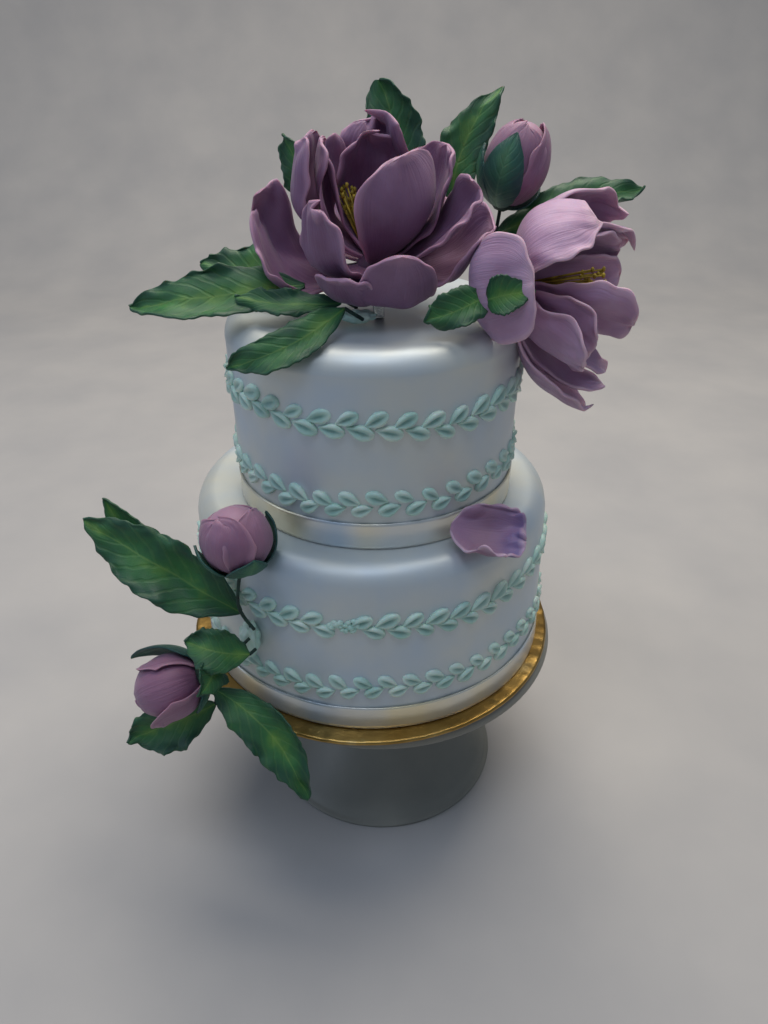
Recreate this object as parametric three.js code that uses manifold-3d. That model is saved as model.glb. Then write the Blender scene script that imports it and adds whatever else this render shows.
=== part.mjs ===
// A two-tier wedding cake: pearl icing, piped leaf borders, satin ribbons and sugar flowers, on a gold
// card and a round cake stand. Millimetres, +Z up. The origin is on the floor, straight below the
// middle of the tiers; -Y is the side that faces the viewer and +X is to their right.

import * as THREE from "three";
import { mergeVertices } from "three/addons/utils/BufferGeometryUtils.js";
import Module from "manifold-3d";

const wasm = await Module();
wasm.setup();

const cake = new THREE.Group();

// Clearance left between separate pieces.
const GAP = 0.3;

// Details finer than this are merged away after a piece is cut or joined.
const SLIVER = 0.16;

// Finishes, as seen in daylight.
const finishes = {
  standPaint: { color: 0x8b8a82, roughness: 0.55, metalness: 0.0 },
  goldCard: { color: 0xa9813a, roughness: 0.35, metalness: 0.9 },
  pearlIcing: { color: 0xc9c9c6, roughness: 0.35, metalness: 0.1 },
  satinRibbon: { color: 0xcfcdc4, roughness: 0.3, metalness: 0.2 },
  mintIcing: { color: 0x9fc4b4, roughness: 0.6, metalness: 0.0 },
  mauvePaste: { color: 0x946a86, roughness: 0.6, metalness: 0.0 },
  lilacPaste: { color: 0xb08fae, roughness: 0.6, metalness: 0.0 },
  yellowPaste: { color: 0xb0982e, roughness: 0.7, metalness: 0.0 },
  leafPaste: { color: 0x2f6a4a, roughness: 0.55, metalness: 0.0 },
  clearPlastic: { color: 0x9aa0a0, roughness: 0.2, metalness: 0.0 },
};

// The stand, the card and the tiers.
const stand = {
  center: [5, -1],
  footRadius: 78,
  footEdge: 3,
  neckRadius: 30,
  neckHeight: 66,
  plateRadius: 110,
  plateBottom: 108.5,
  plateTop: 118.8,
  sides: 24,
};
const card = { center: [-2, -1], radius: 114.7, bottom: 119.1, top: 122.3, sides: 36 };
const bottomTier = {
  center: [0, 0],
  bottom: 122.6,
  top: 225.2,
  footRadius: 105,
  topRadius: 103,
  shoulder: 12,
  sides: 36,
};
const topTier = {
  center: [2.4, -4.1],
  bottom: 225.5,
  top: 328,
  footRadius: 77.2,
  topRadius: 78.4,
  shoulder: 12,
  sides: 30,
};
const ribbon = { height: 15, thickness: 0.8 };

// Booleans: a closed geometry becomes a solid, and a solid becomes a geometry again.
function solidOf(geometry) {
  const bare = geometry.clone();
  bare.deleteAttribute("normal");
  bare.deleteAttribute("uv");
  const merged = mergeVertices(bare, 1e-4);
  const vertProperties = new Float32Array(merged.attributes.position.array);
  const triVerts = new Uint32Array(merged.index.array);
  return new wasm.Manifold(new wasm.Mesh({ numProp: 3, vertProperties, triVerts }));
}

function geometryOf(solid) {
  const mesh = solid.getMesh();
  const geometry = new THREE.BufferGeometry();
  geometry.setAttribute("position", new THREE.BufferAttribute(mesh.vertProperties, 3));
  geometry.setIndex(new THREE.BufferAttribute(mesh.triVerts, 1));
  geometry.computeVertexNormals();
  return geometry;
}

function joined(solids) {
  return wasm.Manifold.union(solids);
}

function movedSolid(geometry, [x, y, z]) {
  geometry.translate(x, y, z);
  return solidOf(geometry);
}

// The largest loose body of a solid, with its scraps dropped and its sealed pockets filled.
function largest(solid) {
  const bodies = solid.decompose();
  return bodies.reduce((best, body) => (body.volume() > best.volume() ? body : best));
}

// Each piece gives way by the gap to the pieces placed before it. make(grow) returns the piece's
// solid, grown all round by that much.
const placed = [];

function addPart(name, finish, make) {
  const solid = placed.reduce((rest, earlier) => rest.subtract(earlier), make(0));
  placed.push(make(GAP));
  const body = largest(largest(solid).simplify(SLIVER));
  const mesh = new THREE.Mesh(geometryOf(body), new THREE.MeshStandardMaterial(finish));
  mesh.name = name;
  cake.add(mesh);
}

function radians(degrees) {
  return THREE.MathUtils.degToRad(degrees);
}

// A unit vector from a compass heading (0 is +X, 90 is away from the viewer) and a rise above level.
function direction(heading, lift) {
  const level = Math.cos(radians(lift));
  const x = level * Math.cos(radians(heading));
  const y = level * Math.sin(radians(heading));
  return new THREE.Vector3(x, y, Math.sin(radians(lift)));
}

function smoothStep(x) {
  return THREE.MathUtils.smoothstep(x, 0, 1);
}

// Turned bodies.
function turned(profile, [x, y], sides) {
  const points = profile.map(([radius, height]) => new THREE.Vector2(radius, height));
  const geometry = new THREE.LatheGeometry(points, sides);
  geometry.rotateX(Math.PI / 2);
  geometry.translate(x, y, 0);
  return solidOf(geometry);
}

function standProfile(s) {
  const slope = [0, 0.35, 1].map((t) => {
    const radius = s.neckRadius + (s.footRadius - 4 - s.neckRadius) * (1 - t) ** 2.1;
    return [radius, s.footEdge + 1.5 + (s.neckHeight - s.footEdge - 1.5) * t];
  });
  return [
    [0, 0],
    [s.footRadius - 1, 0],
    [s.footRadius, 1],
    [s.footRadius - 0.8, s.footEdge],
    ...slope,
    [s.neckRadius - 2, s.neckHeight + 12],
    [s.neckRadius + 8, s.plateBottom - 6],
    [s.plateRadius - 14, s.plateBottom],
    [s.plateRadius - 2, s.plateBottom + 1],
    [s.plateRadius, s.plateBottom + 5],
    [s.plateRadius - 1.5, s.plateTop],
    [0, s.plateTop],
  ];
}

function tierRadius(tier, z) {
  const t = (z - tier.bottom) / (tier.top - tier.bottom);
  return tier.footRadius + (tier.topRadius - tier.footRadius) * t;
}

function tierProfile(tier, grow = 0) {
  const r = tier.shoulder;
  const steps = 2;
  const arc = Array.from({ length: steps + 1 }, (_, i) => {
    const angle = (i / steps) * (Math.PI / 2);
    const radius = tier.topRadius - r * (1 - Math.cos(angle));
    return [radius + grow, tier.top - r * (1 - Math.sin(angle)) + grow];
  });
  return [
    [0, tier.bottom - grow],
    [tier.footRadius + grow, tier.bottom - grow],
    ...arc,
    [0, tier.top + grow],
  ];
}

// Piped borders: pairs of drops, one leaning up and one leaning down, in a ring round a tier.
const drop = {
  length: 13.5,
  halfWidth: 4.2,
  height: 3,
  lengthSmall: 11.5,
  halfWidthSmall: 3.8,
  spread: 3.1,
  tiltUp: 28,
  tiltDown: -18,
  headAt: 0.42,
  peakAt: 0.2,
  sunk: 0.7,
  root: 1.2,
  halfStep: 0.45,
  ripple: 0.9,
  ripples: 7,
};
const borders = [
  { tier: topTier, height: 293.8, pairs: 36, wave: 2.2, phase: 0.4, heads: 1, small: false },
  { tier: topTier, height: 252.4, pairs: 36, wave: 1.6, phase: 2.1, heads: -1, small: true },
  { tier: bottomTier, height: 193.6, pairs: 50, wave: 2.0, phase: 1.2, heads: 1, small: false },
  { tier: bottomTier, height: 151.7, pairs: 50, wave: 1.8, phase: 3.0, heads: -1, small: true },
];

// A drop lies on the wall: x runs from its tail to its fat head, y across, z out of the wall. Its
// foot is a long triangle, sunk a little, and its peak stands near the head.
function dropGeometry(length, halfWidth, height) {
  const head = length * drop.headAt;
  const peak = length * drop.peakAt;
  const points = [
    [-length / 2, 0, -drop.sunk],
    [head, -halfWidth, -drop.sunk],
    [head, halfWidth, -drop.sunk],
    [peak, 0, height],
    [peak, 0, -drop.root],
  ];
  const faces = [];
  for (let i = 0; i < 3; i++) {
    const next = (i + 1) % 3;
    faces.push(i, next, 3);
    faces.push(next, i, 4);
  }
  const geometry = new THREE.BufferGeometry();
  geometry.setAttribute("position", new THREE.Float32BufferAttribute(points.flat(), 3));
  geometry.setIndex(faces);
  return geometry;
}

function borderSolids(border, grow) {
  const { tier, pairs, heads } = border;
  const length = (border.small ? drop.lengthSmall : drop.length) + 2 * grow;
  const halfWidth = (border.small ? drop.halfWidthSmall : drop.halfWidth) + grow;
  const shape = dropGeometry(length, halfWidth, drop.height + grow);
  const solids = [];
  for (let i = 0; i < pairs; i++) {
    for (const row of [1, -1]) {
      const angle = ((i + (row > 0 ? 0 : drop.halfStep)) / pairs) * 2 * Math.PI;
      const ripple = drop.ripple * Math.sin(drop.ripples * angle);
      const rise = border.wave * Math.sin(2 * angle + border.phase) + ripple;
      const z = border.height + rise + row * drop.spread;
      const tilt = radians(row > 0 ? drop.tiltUp : drop.tiltDown) * heads;
      const out = new THREE.Vector3(Math.cos(angle), Math.sin(angle), 0);
      const along = new THREE.Vector3(-out.y * heads, out.x * heads, 0);
      const across = new THREE.Vector3().crossVectors(out, along);
      const place = new THREE.Matrix4().makeBasis(along, across, out);
      place.multiply(new THREE.Matrix4().makeRotationZ(tilt));
      const radius = tierRadius(tier, z) - 0.2;
      place.setPosition(tier.center[0] + radius * out.x, tier.center[1] + radius * out.y, z);
      solids.push(solidOf(shape.clone().applyMatrix4(place)));
    }
  }
  return solids;
}

// A petal or a leaf is a thin blade: v runs from its base to its tip, and u across it, from -1 to 1.
const bladeDefaults = {
  width: 40,
  cup: 0,
  fold: 0,
  belly: 0,
  curl: 0,
  swing: 0,
  twist: 0,
  ruffle: 0,
  waves: 3,
  phase: 0,
  slim: 0.6,
  blunt: 4,
  tip: 0.5,
  foot: 0.1,
};

// The blade's width at v, as a share of its greatest width.
function widthShare(blade, v) {
  const { slim, blunt, tip, foot } = blade;
  const peak = (slim / (slim + blunt * tip)) ** (1 / blunt);
  const most = peak ** slim * (1 - peak ** blunt) ** tip;
  const outline = (v ** slim * (1 - v ** blunt) ** tip) / most;
  return Math.max(outline, foot * (1 - v));
}

// The blade is cut from a cylinder as wide as its cup asks, then bowed, swung, twisted and curled.
function bladePoint(blade, u, v) {
  const share = widthShare(blade, v);
  const half = blade.width / 2;
  const cup = radians(Math.max(blade.cup, 1));
  const turn = cup * u * share;
  let side = (half / cup) * Math.sin(turn);
  let rise = (half / cup) * (Math.cos(turn) - 1) - half * share * Math.abs(u) * blade.fold;
  const twist = radians(blade.twist) * v;
  [side, rise] = [
    side * Math.cos(twist) - rise * Math.sin(twist),
    side * Math.sin(twist) + rise * Math.cos(twist),
  ];
  const bow = 4 * v * (1 - v);
  const wave = Math.sin(Math.PI * blade.waves * v + blade.phase + (u > 0 ? 0 : 1.7));
  rise += blade.belly * bow + blade.curl * smoothStep((v - 0.6) / 0.4);
  rise += blade.ruffle * v * Math.abs(u) ** 1.5 * wave;
  return new THREE.Vector3()
    .copy(blade.base)
    .addScaledVector(blade.along, blade.length * v)
    .addScaledVector(blade.across, side + blade.swing * bow)
    .addScaledVector(blade.back, rise);
}

function normalAt(pointAt, u, v) {
  const step = 0.01;
  const v0 = THREE.MathUtils.clamp(v, step, 0.98 - step);
  const alongU = pointAt(u + step, v0).sub(pointAt(u - step, v0));
  const alongV = pointAt(u, v0 + step).sub(pointAt(u, v0 - step));
  return alongU.cross(alongV).normalize();
}

// Both faces carry the same triangles, joined round the edge; all columns meet in one point at the tip.
function bladeSolid(pointAt, thickness, { columns, rows, ease }) {
  const points = [];
  const perFace = rows * (columns + 1) + 1;
  for (const face of [1, -1]) {
    for (let j = 0; j < rows; j++) {
      const v = 1 - (1 - j / rows) ** ease;
      for (let i = 0; i <= columns; i++) {
        const u = -1 + (2 * i) / columns;
        const shift = (face * thickness) / 2;
        points.push(pointAt(u, v).addScaledVector(normalAt(pointAt, u, v), shift));
      }
    }
    const tip = pointAt(0, 1);
    points.push(tip.addScaledVector(normalAt(pointAt, 0, 1), (face * thickness) / 2));
  }
  const at = (face, i, j) => face * perFace + (j < rows ? j * (columns + 1) + i : perFace - 1);
  const faces = [];
  for (let j = 0; j < rows; j++) {
    for (let i = 0; i < columns; i++) {
      for (const face of [0, 1]) {
        const [a, b] = face === 0 ? [i, i + 1] : [i + 1, i];
        faces.push([at(face, a, j), at(face, b, j), at(face, b, j + 1)]);
        faces.push([at(face, a, j), at(face, b, j + 1), at(face, a, j + 1)]);
      }
    }
  }
  const rim = [];
  for (let i = columns; i > 0; i--) rim.push([i, 0]);
  for (let j = 0; j < rows; j++) rim.push([0, j]);
  rim.push([0, rows]);
  for (let j = rows - 1; j > 0; j--) rim.push([columns, j]);
  for (let k = 0; k < rim.length; k++) {
    const [i0, j0] = rim[k];
    const [i1, j1] = rim[(k + 1) % rim.length];
    faces.push([at(0, i0, j0), at(0, i1, j1), at(1, i1, j1)]);
    faces.push([at(0, i0, j0), at(1, i1, j1), at(1, i0, j0)]);
  }
  const real = faces.filter(([a, b, c]) => a !== b && b !== c && c !== a);
  const geometry = new THREE.BufferGeometry();
  const flat = points.flatMap((p) => [p.x, p.y, p.z]);
  geometry.setAttribute("position", new THREE.Float32BufferAttribute(flat, 3));
  geometry.setIndex(real.flat());
  return solidOf(geometry);
}

// Thickness, and how finely each kind is cut up; an ease over 1 puts the rows closer toward the tip.
const petalGrid = { thickness: 1.5, columns: 3, rows: 4, ease: 1.8 };
const leafGrid = { thickness: 1.4, columns: 2, rows: 6, ease: 1.1 };
const sepalGrid = { thickness: 1.3, columns: 2, rows: 3, ease: 1 };

// A flower's petals are set out round its own axis: "around" turns about the axis (0 is over the
// viewer's right hand for a flower that looks up), and "open" leans away from it.
function petalBlade(flower, petal) {
  const axis = direction(...flower.axis);
  const away = new THREE.Vector3(0, 1, 0).addScaledVector(axis, -axis.y).normalize();
  const over = new THREE.Vector3().crossVectors(away, axis);
  const around = radians(petal.around);
  const open = radians(petal.open);
  const radial = new THREE.Vector3()
    .addScaledVector(over, Math.cos(around))
    .addScaledVector(away, Math.sin(around));
  const along = new THREE.Vector3()
    .addScaledVector(axis, Math.cos(open))
    .addScaledVector(radial, Math.sin(open));
  const back = new THREE.Vector3()
    .addScaledVector(radial, Math.cos(open))
    .addScaledVector(axis, -Math.sin(open));
  back.applyAxisAngle(along, radians(petal.roll ?? 0));
  const across = new THREE.Vector3().crossVectors(along, back);
  const base = new THREE.Vector3(...flower.heart).addScaledVector(along, 4);
  return { ...bladeDefaults, ...petal, base, along, back, across };
}

// A leaf starts at a point and is given by where it heads and where its upper side faces.
function leafBlade(leaf) {
  const along = direction(leaf.heading, leaf.lift);
  const face = direction(...leaf.faces);
  const back = face.clone().addScaledVector(along, -face.dot(along)).normalize().negate();
  back.applyAxisAngle(along, radians(leaf.roll ?? 0));
  const across = new THREE.Vector3().crossVectors(along, back);
  const base = new THREE.Vector3(...leaf.base);
  const shape = { slim: 0.75, blunt: 1.3, tip: 0.85, foot: 0.08 };
  return { ...bladeDefaults, ...shape, ...leaf, base, along, back, across };
}

// The open flower on top, which looks up and a little toward the viewer. Front petals come first.
// "tuft" is where its stamens lean, as a heading and a lift, and "stamens" is how long they are.
const mauveFlower = {
  heart: [3, -18, 350],
  axis: [-90, 80],
  tuft: [165, 72],
  stamens: 30,
  petals: [
    {
      around: -52, open: 20, length: 57, width: 62, cup: 52, belly: 14,
      curl: -2, swing: 2, twist: -5, roll: 6, tip: 0.65,
    },
    {
      around: -75, open: 69, length: 45, width: 41, cup: 35,
      belly: 17, curl: -7, swing: 2, roll: -6, tip: 0.65,
    },
    {
      around: -133, open: 50, length: 51, width: 35, cup: 40,
      belly: 16, curl: -4, swing: 1, blunt: 2.5, tip: 0.4,
    },
    {
      around: 168, open: 68, length: 60, width: 51, cup: 60,
      belly: 23, curl: -5, swing: 4, twist: 10, blunt: 2.5,
    },
    {
      around: -14, open: 53, length: 60, width: 40, cup: 44,
      belly: 6, curl: -2, twist: -4, roll: 8, tip: 0.6,
    },
    { around: -10, open: 70, length: 58, width: 46, cup: 56, belly: 12, curl: -4, twist: -5, roll: 4 },
    { around: 156, open: 22, length: 58, width: 27, cup: 57, belly: 14, swing: 2, twist: 7, roll: 12 },
    { around: 140, open: 22, length: 58, width: 19, cup: 58, belly: 7, roll: 12 },
    {
      around: 158, open: 32, length: 63, width: 39, cup: 56, belly: 16,
      curl: -3, twist: 13, roll: 27, slim: 0.73, tip: 0.3,
    },
    { around: 25, open: 34, length: 60, width: 42, cup: 54, belly: 12, curl: 2, tip: 0.4 },
    { around: 84, open: 28, length: 64, width: 46, cup: 61, belly: 8, curl: -2, ruffle: 2 },
    { around: 96, open: 22, length: 55, width: 42, cup: 55, belly: 8, ruffle: 2 },
    { around: 45, open: 44, length: 60, width: 40, cup: 50, belly: 10, ruffle: 1 },
    { around: -112, open: 76, length: 42, width: 34, cup: 45, belly: 12, curl: -3 },
    { around: 62, open: 66, length: 54, width: 48, cup: 50, belly: 10 },
    { around: 115, open: 66, length: 54, width: 48, cup: 50, belly: 10 },
  ],
};

// The open flower that hangs over the right edge and looks right, a little downward.
const lilacFlower = {
  heart: [68, -28, 342],
  axis: [-10, -5],
  tuft: [-12, 6],
  stamens: 36,
  petals: [
    {
      around: -107, open: 80, length: 37, width: 55, cup: 46,
      belly: 22, curl: -5, roll: 17, blunt: 5, tip: 0.65,
    },
    {
      around: -166, open: 51, length: 47, width: 57, cup: 46,
      belly: 16, swing: -2, roll: 9, blunt: 2.5, tip: 0.55,
    },
    {
      around: -45, open: 39, length: 52, width: 38, cup: 46, belly: 6,
      curl: 2, twist: -11, roll: -5, blunt: 5, slim: 0.5,
    },
    { around: -39, open: 27, length: 48, width: 42, cup: 46, belly: 2, curl: 3, twist: -4 },
    {
      around: -3, open: 52, length: 71, width: 38, cup: 51,
      belly: 11, curl: -2, twist: -5, roll: 4, blunt: 3,
    },
    {
      around: -31, open: 10, length: 60, width: 49, cup: 43,
      belly: 2, curl: 3, swing: 2, roll: -10, blunt: 5,
    },
    { around: 148, open: 46, length: 62, width: 37, cup: 38, belly: 18, swing: 2, twist: 6, tip: 0.4 },
    { around: 134, open: 33, length: 63, width: 42, cup: 42, belly: 11, swing: 4, twist: 8 },
    { around: 142, open: 27, length: 54, width: 34, cup: 40, belly: 9, roll: 5, ruffle: 1 },
    { around: 9, open: 32, length: 63, width: 20, cup: 62, belly: 7, swing: -3, twist: -8, roll: 8 },
    { around: 1, open: 41, length: 67, width: 23, cup: 47, belly: 11, curl: -3, swing: -2, twist: -5 },
    { around: 104, open: 20, length: 56, width: 34, cup: 45, belly: 5 },
    { around: 70, open: 46, length: 54, width: 46, cup: 50, belly: 8 },
    { around: 104, open: 60, length: 48, width: 46, cup: 45, belly: 8 },
  ],
};

// Leaves of the top spray.
const topLeaves = {
  back_left: {
    base: [-22, 14, 361], heading: 165, lift: 65, faces: [-110, 5],
    length: 50, width: 21, swing: -3, twist: 6,
  },
  back_middle: {
    base: [18, 37, 365], heading: 162, lift: 80, faces: [-90, 5], length: 65,
    width: 29, swing: -4, twist: 7, tip: 0.6,
  },
  back_right: {
    base: [46, 30, 363], heading: 20, lift: 68, faces: [-95, 10],
    length: 66, width: 26, swing: 7, roll: -15,
  },
  far_right: { base: [65, 11, 357], heading: 3, lift: 16, faces: [-80, 60], length: 79, width: 28 },
  left_high: {
    base: [-29, 4, 337], heading: 176, lift: 8, faces: [-90, 50],
    length: 59, width: 30, twist: -4, stalk: [-6, -32, 334],
  },
  left_long: {
    base: [-31, -24, 343], heading: -177, lift: -5, faces: [-90, 45],
    length: 87, width: 30, swing: 3,
  },
  left_low: {
    base: [-13, -38, 338], heading: 174, lift: 2, faces: [-90, 40],
    length: 52, width: 16, swing: 5, roll: 9,
  },
  front_left: {
    base: [-11, -53, 340], heading: -166, lift: -22, faces: [-90, 45],
    length: 62, width: 22, belly: -8, swing: 8, twist: -5, stalk: [-3, -44, 332],
  },
  front_right: {
    base: [55, -50, 344], heading: -152, lift: -10, faces: [-90, 40],
    length: 35, width: 19, swing: 3,
  },
  front_small: {
    base: [54, -58, 344], heading: -32, lift: 21, faces: [-90, 25],
    length: 21, width: 19, belly: -7, curl: 3,
  },
};

// Leaves of the spray at the left of the lower tier.
const sideLeaves = {
  upper_long: {
    base: [-70, -85, 189], heading: 164, lift: 28, faces: [-90, 30],
    length: 95, width: 37, tip: 0.95, stalk: [-65, -88, 179],
  },
  upper_back: {
    base: [-93, -81, 197], heading: 150, lift: 38, faces: [-90, 30],
    length: 71, width: 22, swing: 4,
  },
  middle: {
    base: [-65, -101, 174], heading: 178, lift: 16, faces: [-90, 40],
    length: 34, width: 24, swing: 2, stalk: [-63, -95, 172],
  },
  bud_sepal: { base: [-87, -101, 171], heading: -92, lift: -14, faces: [-50, 10], length: 21, width: 21 },
  lower_left: {
    base: [-90, -90, 128], heading: -169, lift: -19, faces: [-90, 30],
    length: 54, width: 30, stalk: [-84, -95, 158],
  },
  lower_right: {
    base: [-86, -102, 151], heading: -36, lift: -38, faces: [-90, 20],
    length: 76, width: 27, swing: 9, roll: -8, slim: 0.65, stalk: [-81, -98, 163],
  },
};

// Buds: an egg of closed petals in a dark calyx, on a wire. "pole" is where the wire meets the bud.
const buds = {
  top: {
    pole: [68, 9, 374],
    axis: [0, 72],
    length: 40,
    radius: 15.5,
    sepals: [
      { around: -118, length: 34, width: 24 },
      { around: -175, length: 27, width: 18 },
      { around: 20, length: 20, width: 18 },
      { around: 110, length: 26, width: 20 },
    ],
    wire: [[65, 6, 358], [58, 0, 350]],
  },
  upper_left: {
    pole: [-66, -94, 222],
    axis: [100, 72],
    length: 34,
    radius: 17,
    sepals: [
      { around: -55, length: 20, width: 26 },
      { around: -165, length: 26, width: 20 },
      { around: 35, length: 36, width: 18 },
      { around: 120, length: 26, width: 20 },
    ],
    wire: [[-69, -94, 200], [-63, -92, 183]],
  },
  lower_left: {
    pole: [-92, -98, 158],
    axis: [-172, -18],
    length: 37,
    radius: 17,
    sepals: [
      { around: 55, length: 38, width: 30, flare: 9 },
      { around: -150, length: 20, width: 18 },
      { around: 135, length: 28, width: 22 },
    ],
    wire: [[-78, -98, 168], [-66, -92, 177]],
  },
};

function rodSolid(points, radius, sides = 5) {
  const path = new THREE.CatmullRomCurve3(points.map((p) => new THREE.Vector3(...p)));
  const section = new THREE.Shape();
  section.setFromPoints(
    Array.from({ length: sides }, (_, i) => {
      const angle = (i / sides) * 2 * Math.PI;
      return new THREE.Vector2(radius * Math.cos(angle), radius * Math.sin(angle));
    }),
  );
  const steps = 2 * (points.length - 1);
  return solidOf(new THREE.ExtrudeGeometry(section, { steps, extrudePath: path, bevelEnabled: false }));
}

// An egg that stands on its pole and points along its axis.
function budSolid(bud, grow) {
  const [around, rows] = [10, 6];
  const egg = new THREE.SphereGeometry(1, around, rows);
  egg.scale(bud.radius + grow, bud.length / 2 + grow, bud.radius + grow);
  const up = new THREE.Vector3(0, 1, 0);
  const axis = direction(...bud.axis);
  egg.applyQuaternion(new THREE.Quaternion().setFromUnitVectors(up, axis));
  const middle = new THREE.Vector3(...bud.pole).addScaledVector(axis, bud.length / 2);
  return movedSolid(egg, middle.toArray());
}

// A sepal lies against its bud: it starts near the pole and runs up the egg, a little clear of it.
const sepalShape = { start: 0.25, lift: 2.8, spring: 1.8, slim: 0.85, blunt: 1.2, tip: 1, foot: 0.1 };
const wireRadius = 0.9;

// The cone in which a bud's sepals meet, sunk a little below the pole.
const cone = { top: 8, foot: 3.5, height: 5, sides: 6, sunk: 1.5 };

function sepalPoint(bud, sepal, u, v) {
  const axis = direction(...bud.axis);
  const away = new THREE.Vector3(0, 1, 0).addScaledVector(axis, -axis.y).normalize();
  const over = new THREE.Vector3().crossVectors(away, axis);
  const turn = sepalShape.start + (sepal.length / bud.radius - sepalShape.start) * v;
  const lift = sepalShape.lift + sepalShape.spring * smoothStep(2 * v) + (sepal.flare ?? 0) * v ** 3;
  const reach = (bud.radius + lift) * Math.sin(turn);
  const half = (sepal.width / 2) * widthShare(sepal, v);
  const around = radians(sepal.around) + (half * u) / reach;
  return new THREE.Vector3(...bud.pole)
    .addScaledVector(axis, bud.length / 2 - (bud.length / 2 + lift) * Math.cos(turn))
    .addScaledVector(over, reach * Math.cos(around))
    .addScaledVector(away, reach * Math.sin(around));
}

function calyxSolid(bud, grow) {
  const axis = direction(...bud.axis);
  const sepals = bud.sepals.map((own) => {
    const sepal = { ...sepalShape, ...own, width: own.width + 2 * grow, length: own.length + grow };
    return bladeSolid((u, v) => sepalPoint(bud, sepal, u, v), sepalGrid.thickness + 2 * grow, sepalGrid);
  });
  const cup = new THREE.CylinderGeometry(cone.top + grow, cone.foot + grow, cone.height + grow, cone.sides, 1);
  cup.applyQuaternion(new THREE.Quaternion().setFromUnitVectors(new THREE.Vector3(0, 1, 0), axis));
  const middle = new THREE.Vector3(...bud.pole).addScaledVector(axis, -cone.sunk);
  const wire = rodSolid([bud.pole, ...bud.wire], wireRadius + grow);
  return joined([...sepals, movedSolid(cup, middle.toArray()), wire]);
}

function grownBlade(blade, grid, grow) {
  const bigger = { ...blade, width: blade.width + 2 * grow, length: blade.length + grow };
  return bladeSolid((u, v) => bladePoint(bigger, u, v), grid.thickness + 2 * grow, grid);
}

// A flower, or one ring of it, is its petals joined round a hub, which stands "rise" above the heart.
const hubs = {
  mauveOuter: { radius: 9, rise: 0 },
  mauveInner: { radius: 6, rise: 9 },
  lilac: { radius: 7, rise: 0 },
};

function flowerSolid(flower, petals, { radius, rise }, grow) {
  const blades = petals.map((petal) => grownBlade(petalBlade(flower, petal), petalGrid, grow));
  const middle = new THREE.Vector3(...flower.heart).addScaledVector(direction(...flower.axis), rise);
  const hub = movedSolid(new THREE.IcosahedronGeometry(radius + grow, 0), middle.toArray());
  return joined([...blades, hub]);
}

const leafShape = { belly: -4, cup: 12, fold: 0.2, ruffle: 1.5 };

function leafSolid(leaf, grow) {
  const blade = leafBlade({ ...leafShape, ...leaf });
  const solid = grownBlade(blade, leafGrid, grow);
  return leaf.stalk ? joined([solid, rodSolid([leaf.base, leaf.stalk], wireRadius + grow, 4)]) : solid;
}

// The stamens stand in the mouth of a flower, a ribbed tuft that widens upward.
const tuftShape = { top: 6, foot: 3, start: 9, sides: 9 };

function stamenSolid(flower, grow) {
  const { top, foot, start, sides } = tuftShape;
  const axis = direction(...flower.tuft);
  const tuft = new THREE.CylinderGeometry(top + grow, foot + grow, flower.stamens, sides, 1);
  tuft.applyQuaternion(new THREE.Quaternion().setFromUnitVectors(new THREE.Vector3(0, 1, 0), axis));
  const middle = new THREE.Vector3(...flower.heart).addScaledVector(axis, start + flower.stamens / 2);
  return movedSolid(tuft, middle.toArray());
}

// What holds the sprays: a clear pick pushed into the icing, and smears of icing over the wires' ends.
const pick = { foot: [5, -30, 328.5], head: [4, -26, 346], radius: 3, sides: 8 };
const smears = {
  top: { middle: [-5, -39, 332], size: [18, 10, 7] },
  side: { middle: [-67, -86, 172], size: [12, 12, 26] },
};

function smearSolid({ middle, size }, grow) {
  const blob = new THREE.IcosahedronGeometry(1, 1);
  blob.scale(size[0] / 2 + grow, size[1] / 2 + grow, size[2] / 2 + grow);
  return movedSolid(blob, middle);
}

function ribbonSolid(tier, grow) {
  const foot = tierRadius(tier, tier.bottom) + GAP;
  const head = tierRadius(tier, tier.bottom + ribbon.height) + GAP;
  const [low, high] = [tier.bottom + 0.2 - grow, tier.bottom + ribbon.height + grow];
  const profile = [
    [foot, low],
    [foot + ribbon.thickness + grow, low],
    [head + ribbon.thickness + grow, high],
    [head, high],
    [foot, low],
  ];
  return turned(profile, tier.center, tier.sides);
}

function cardProfile({ radius, bottom, top }, grow) {
  return [
    [0, bottom - grow],
    [radius - 0.6 + grow, bottom - grow],
    [radius + grow, bottom + 0.8],
    [radius - 1 + grow, top + grow],
    [0, top + grow],
  ];
}

function tierSolid(tier, grow) {
  const body = turned(tierProfile(tier, grow), tier.center, tier.sides);
  const drops = borders.filter((border) => border.tier === tier);
  return joined([body, ...drops.flatMap((border) => borderSolids(border, grow))]);
}

// A petal that has dropped and lies cupped against the foot of the top tier.
const loosePetal = {
  base: [39, -80, 237],
  heading: -14,
  lift: -2,
  faces: [-80, 54],
  length: 37,
  width: 44,
  belly: 6,
  cup: 88,
  ruffle: 1.5,
  slim: 0.6,
  blunt: 3,
  tip: 0.5,
};

addPart("stand", finishes.standPaint, () => turned(standProfile(stand), stand.center, stand.sides));
addPart("cake_card", finishes.goldCard, (grow) => {
  return turned(cardProfile(card, grow), card.center, card.sides);
});
addPart("tier_bottom", finishes.pearlIcing, (grow) => tierSolid(bottomTier, grow));
addPart("tier_top", finishes.pearlIcing, (grow) => tierSolid(topTier, grow));
addPart("ribbon_bottom", finishes.satinRibbon, (grow) => ribbonSolid(bottomTier, grow));
addPart("ribbon_top", finishes.satinRibbon, (grow) => ribbonSolid(topTier, grow));

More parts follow.
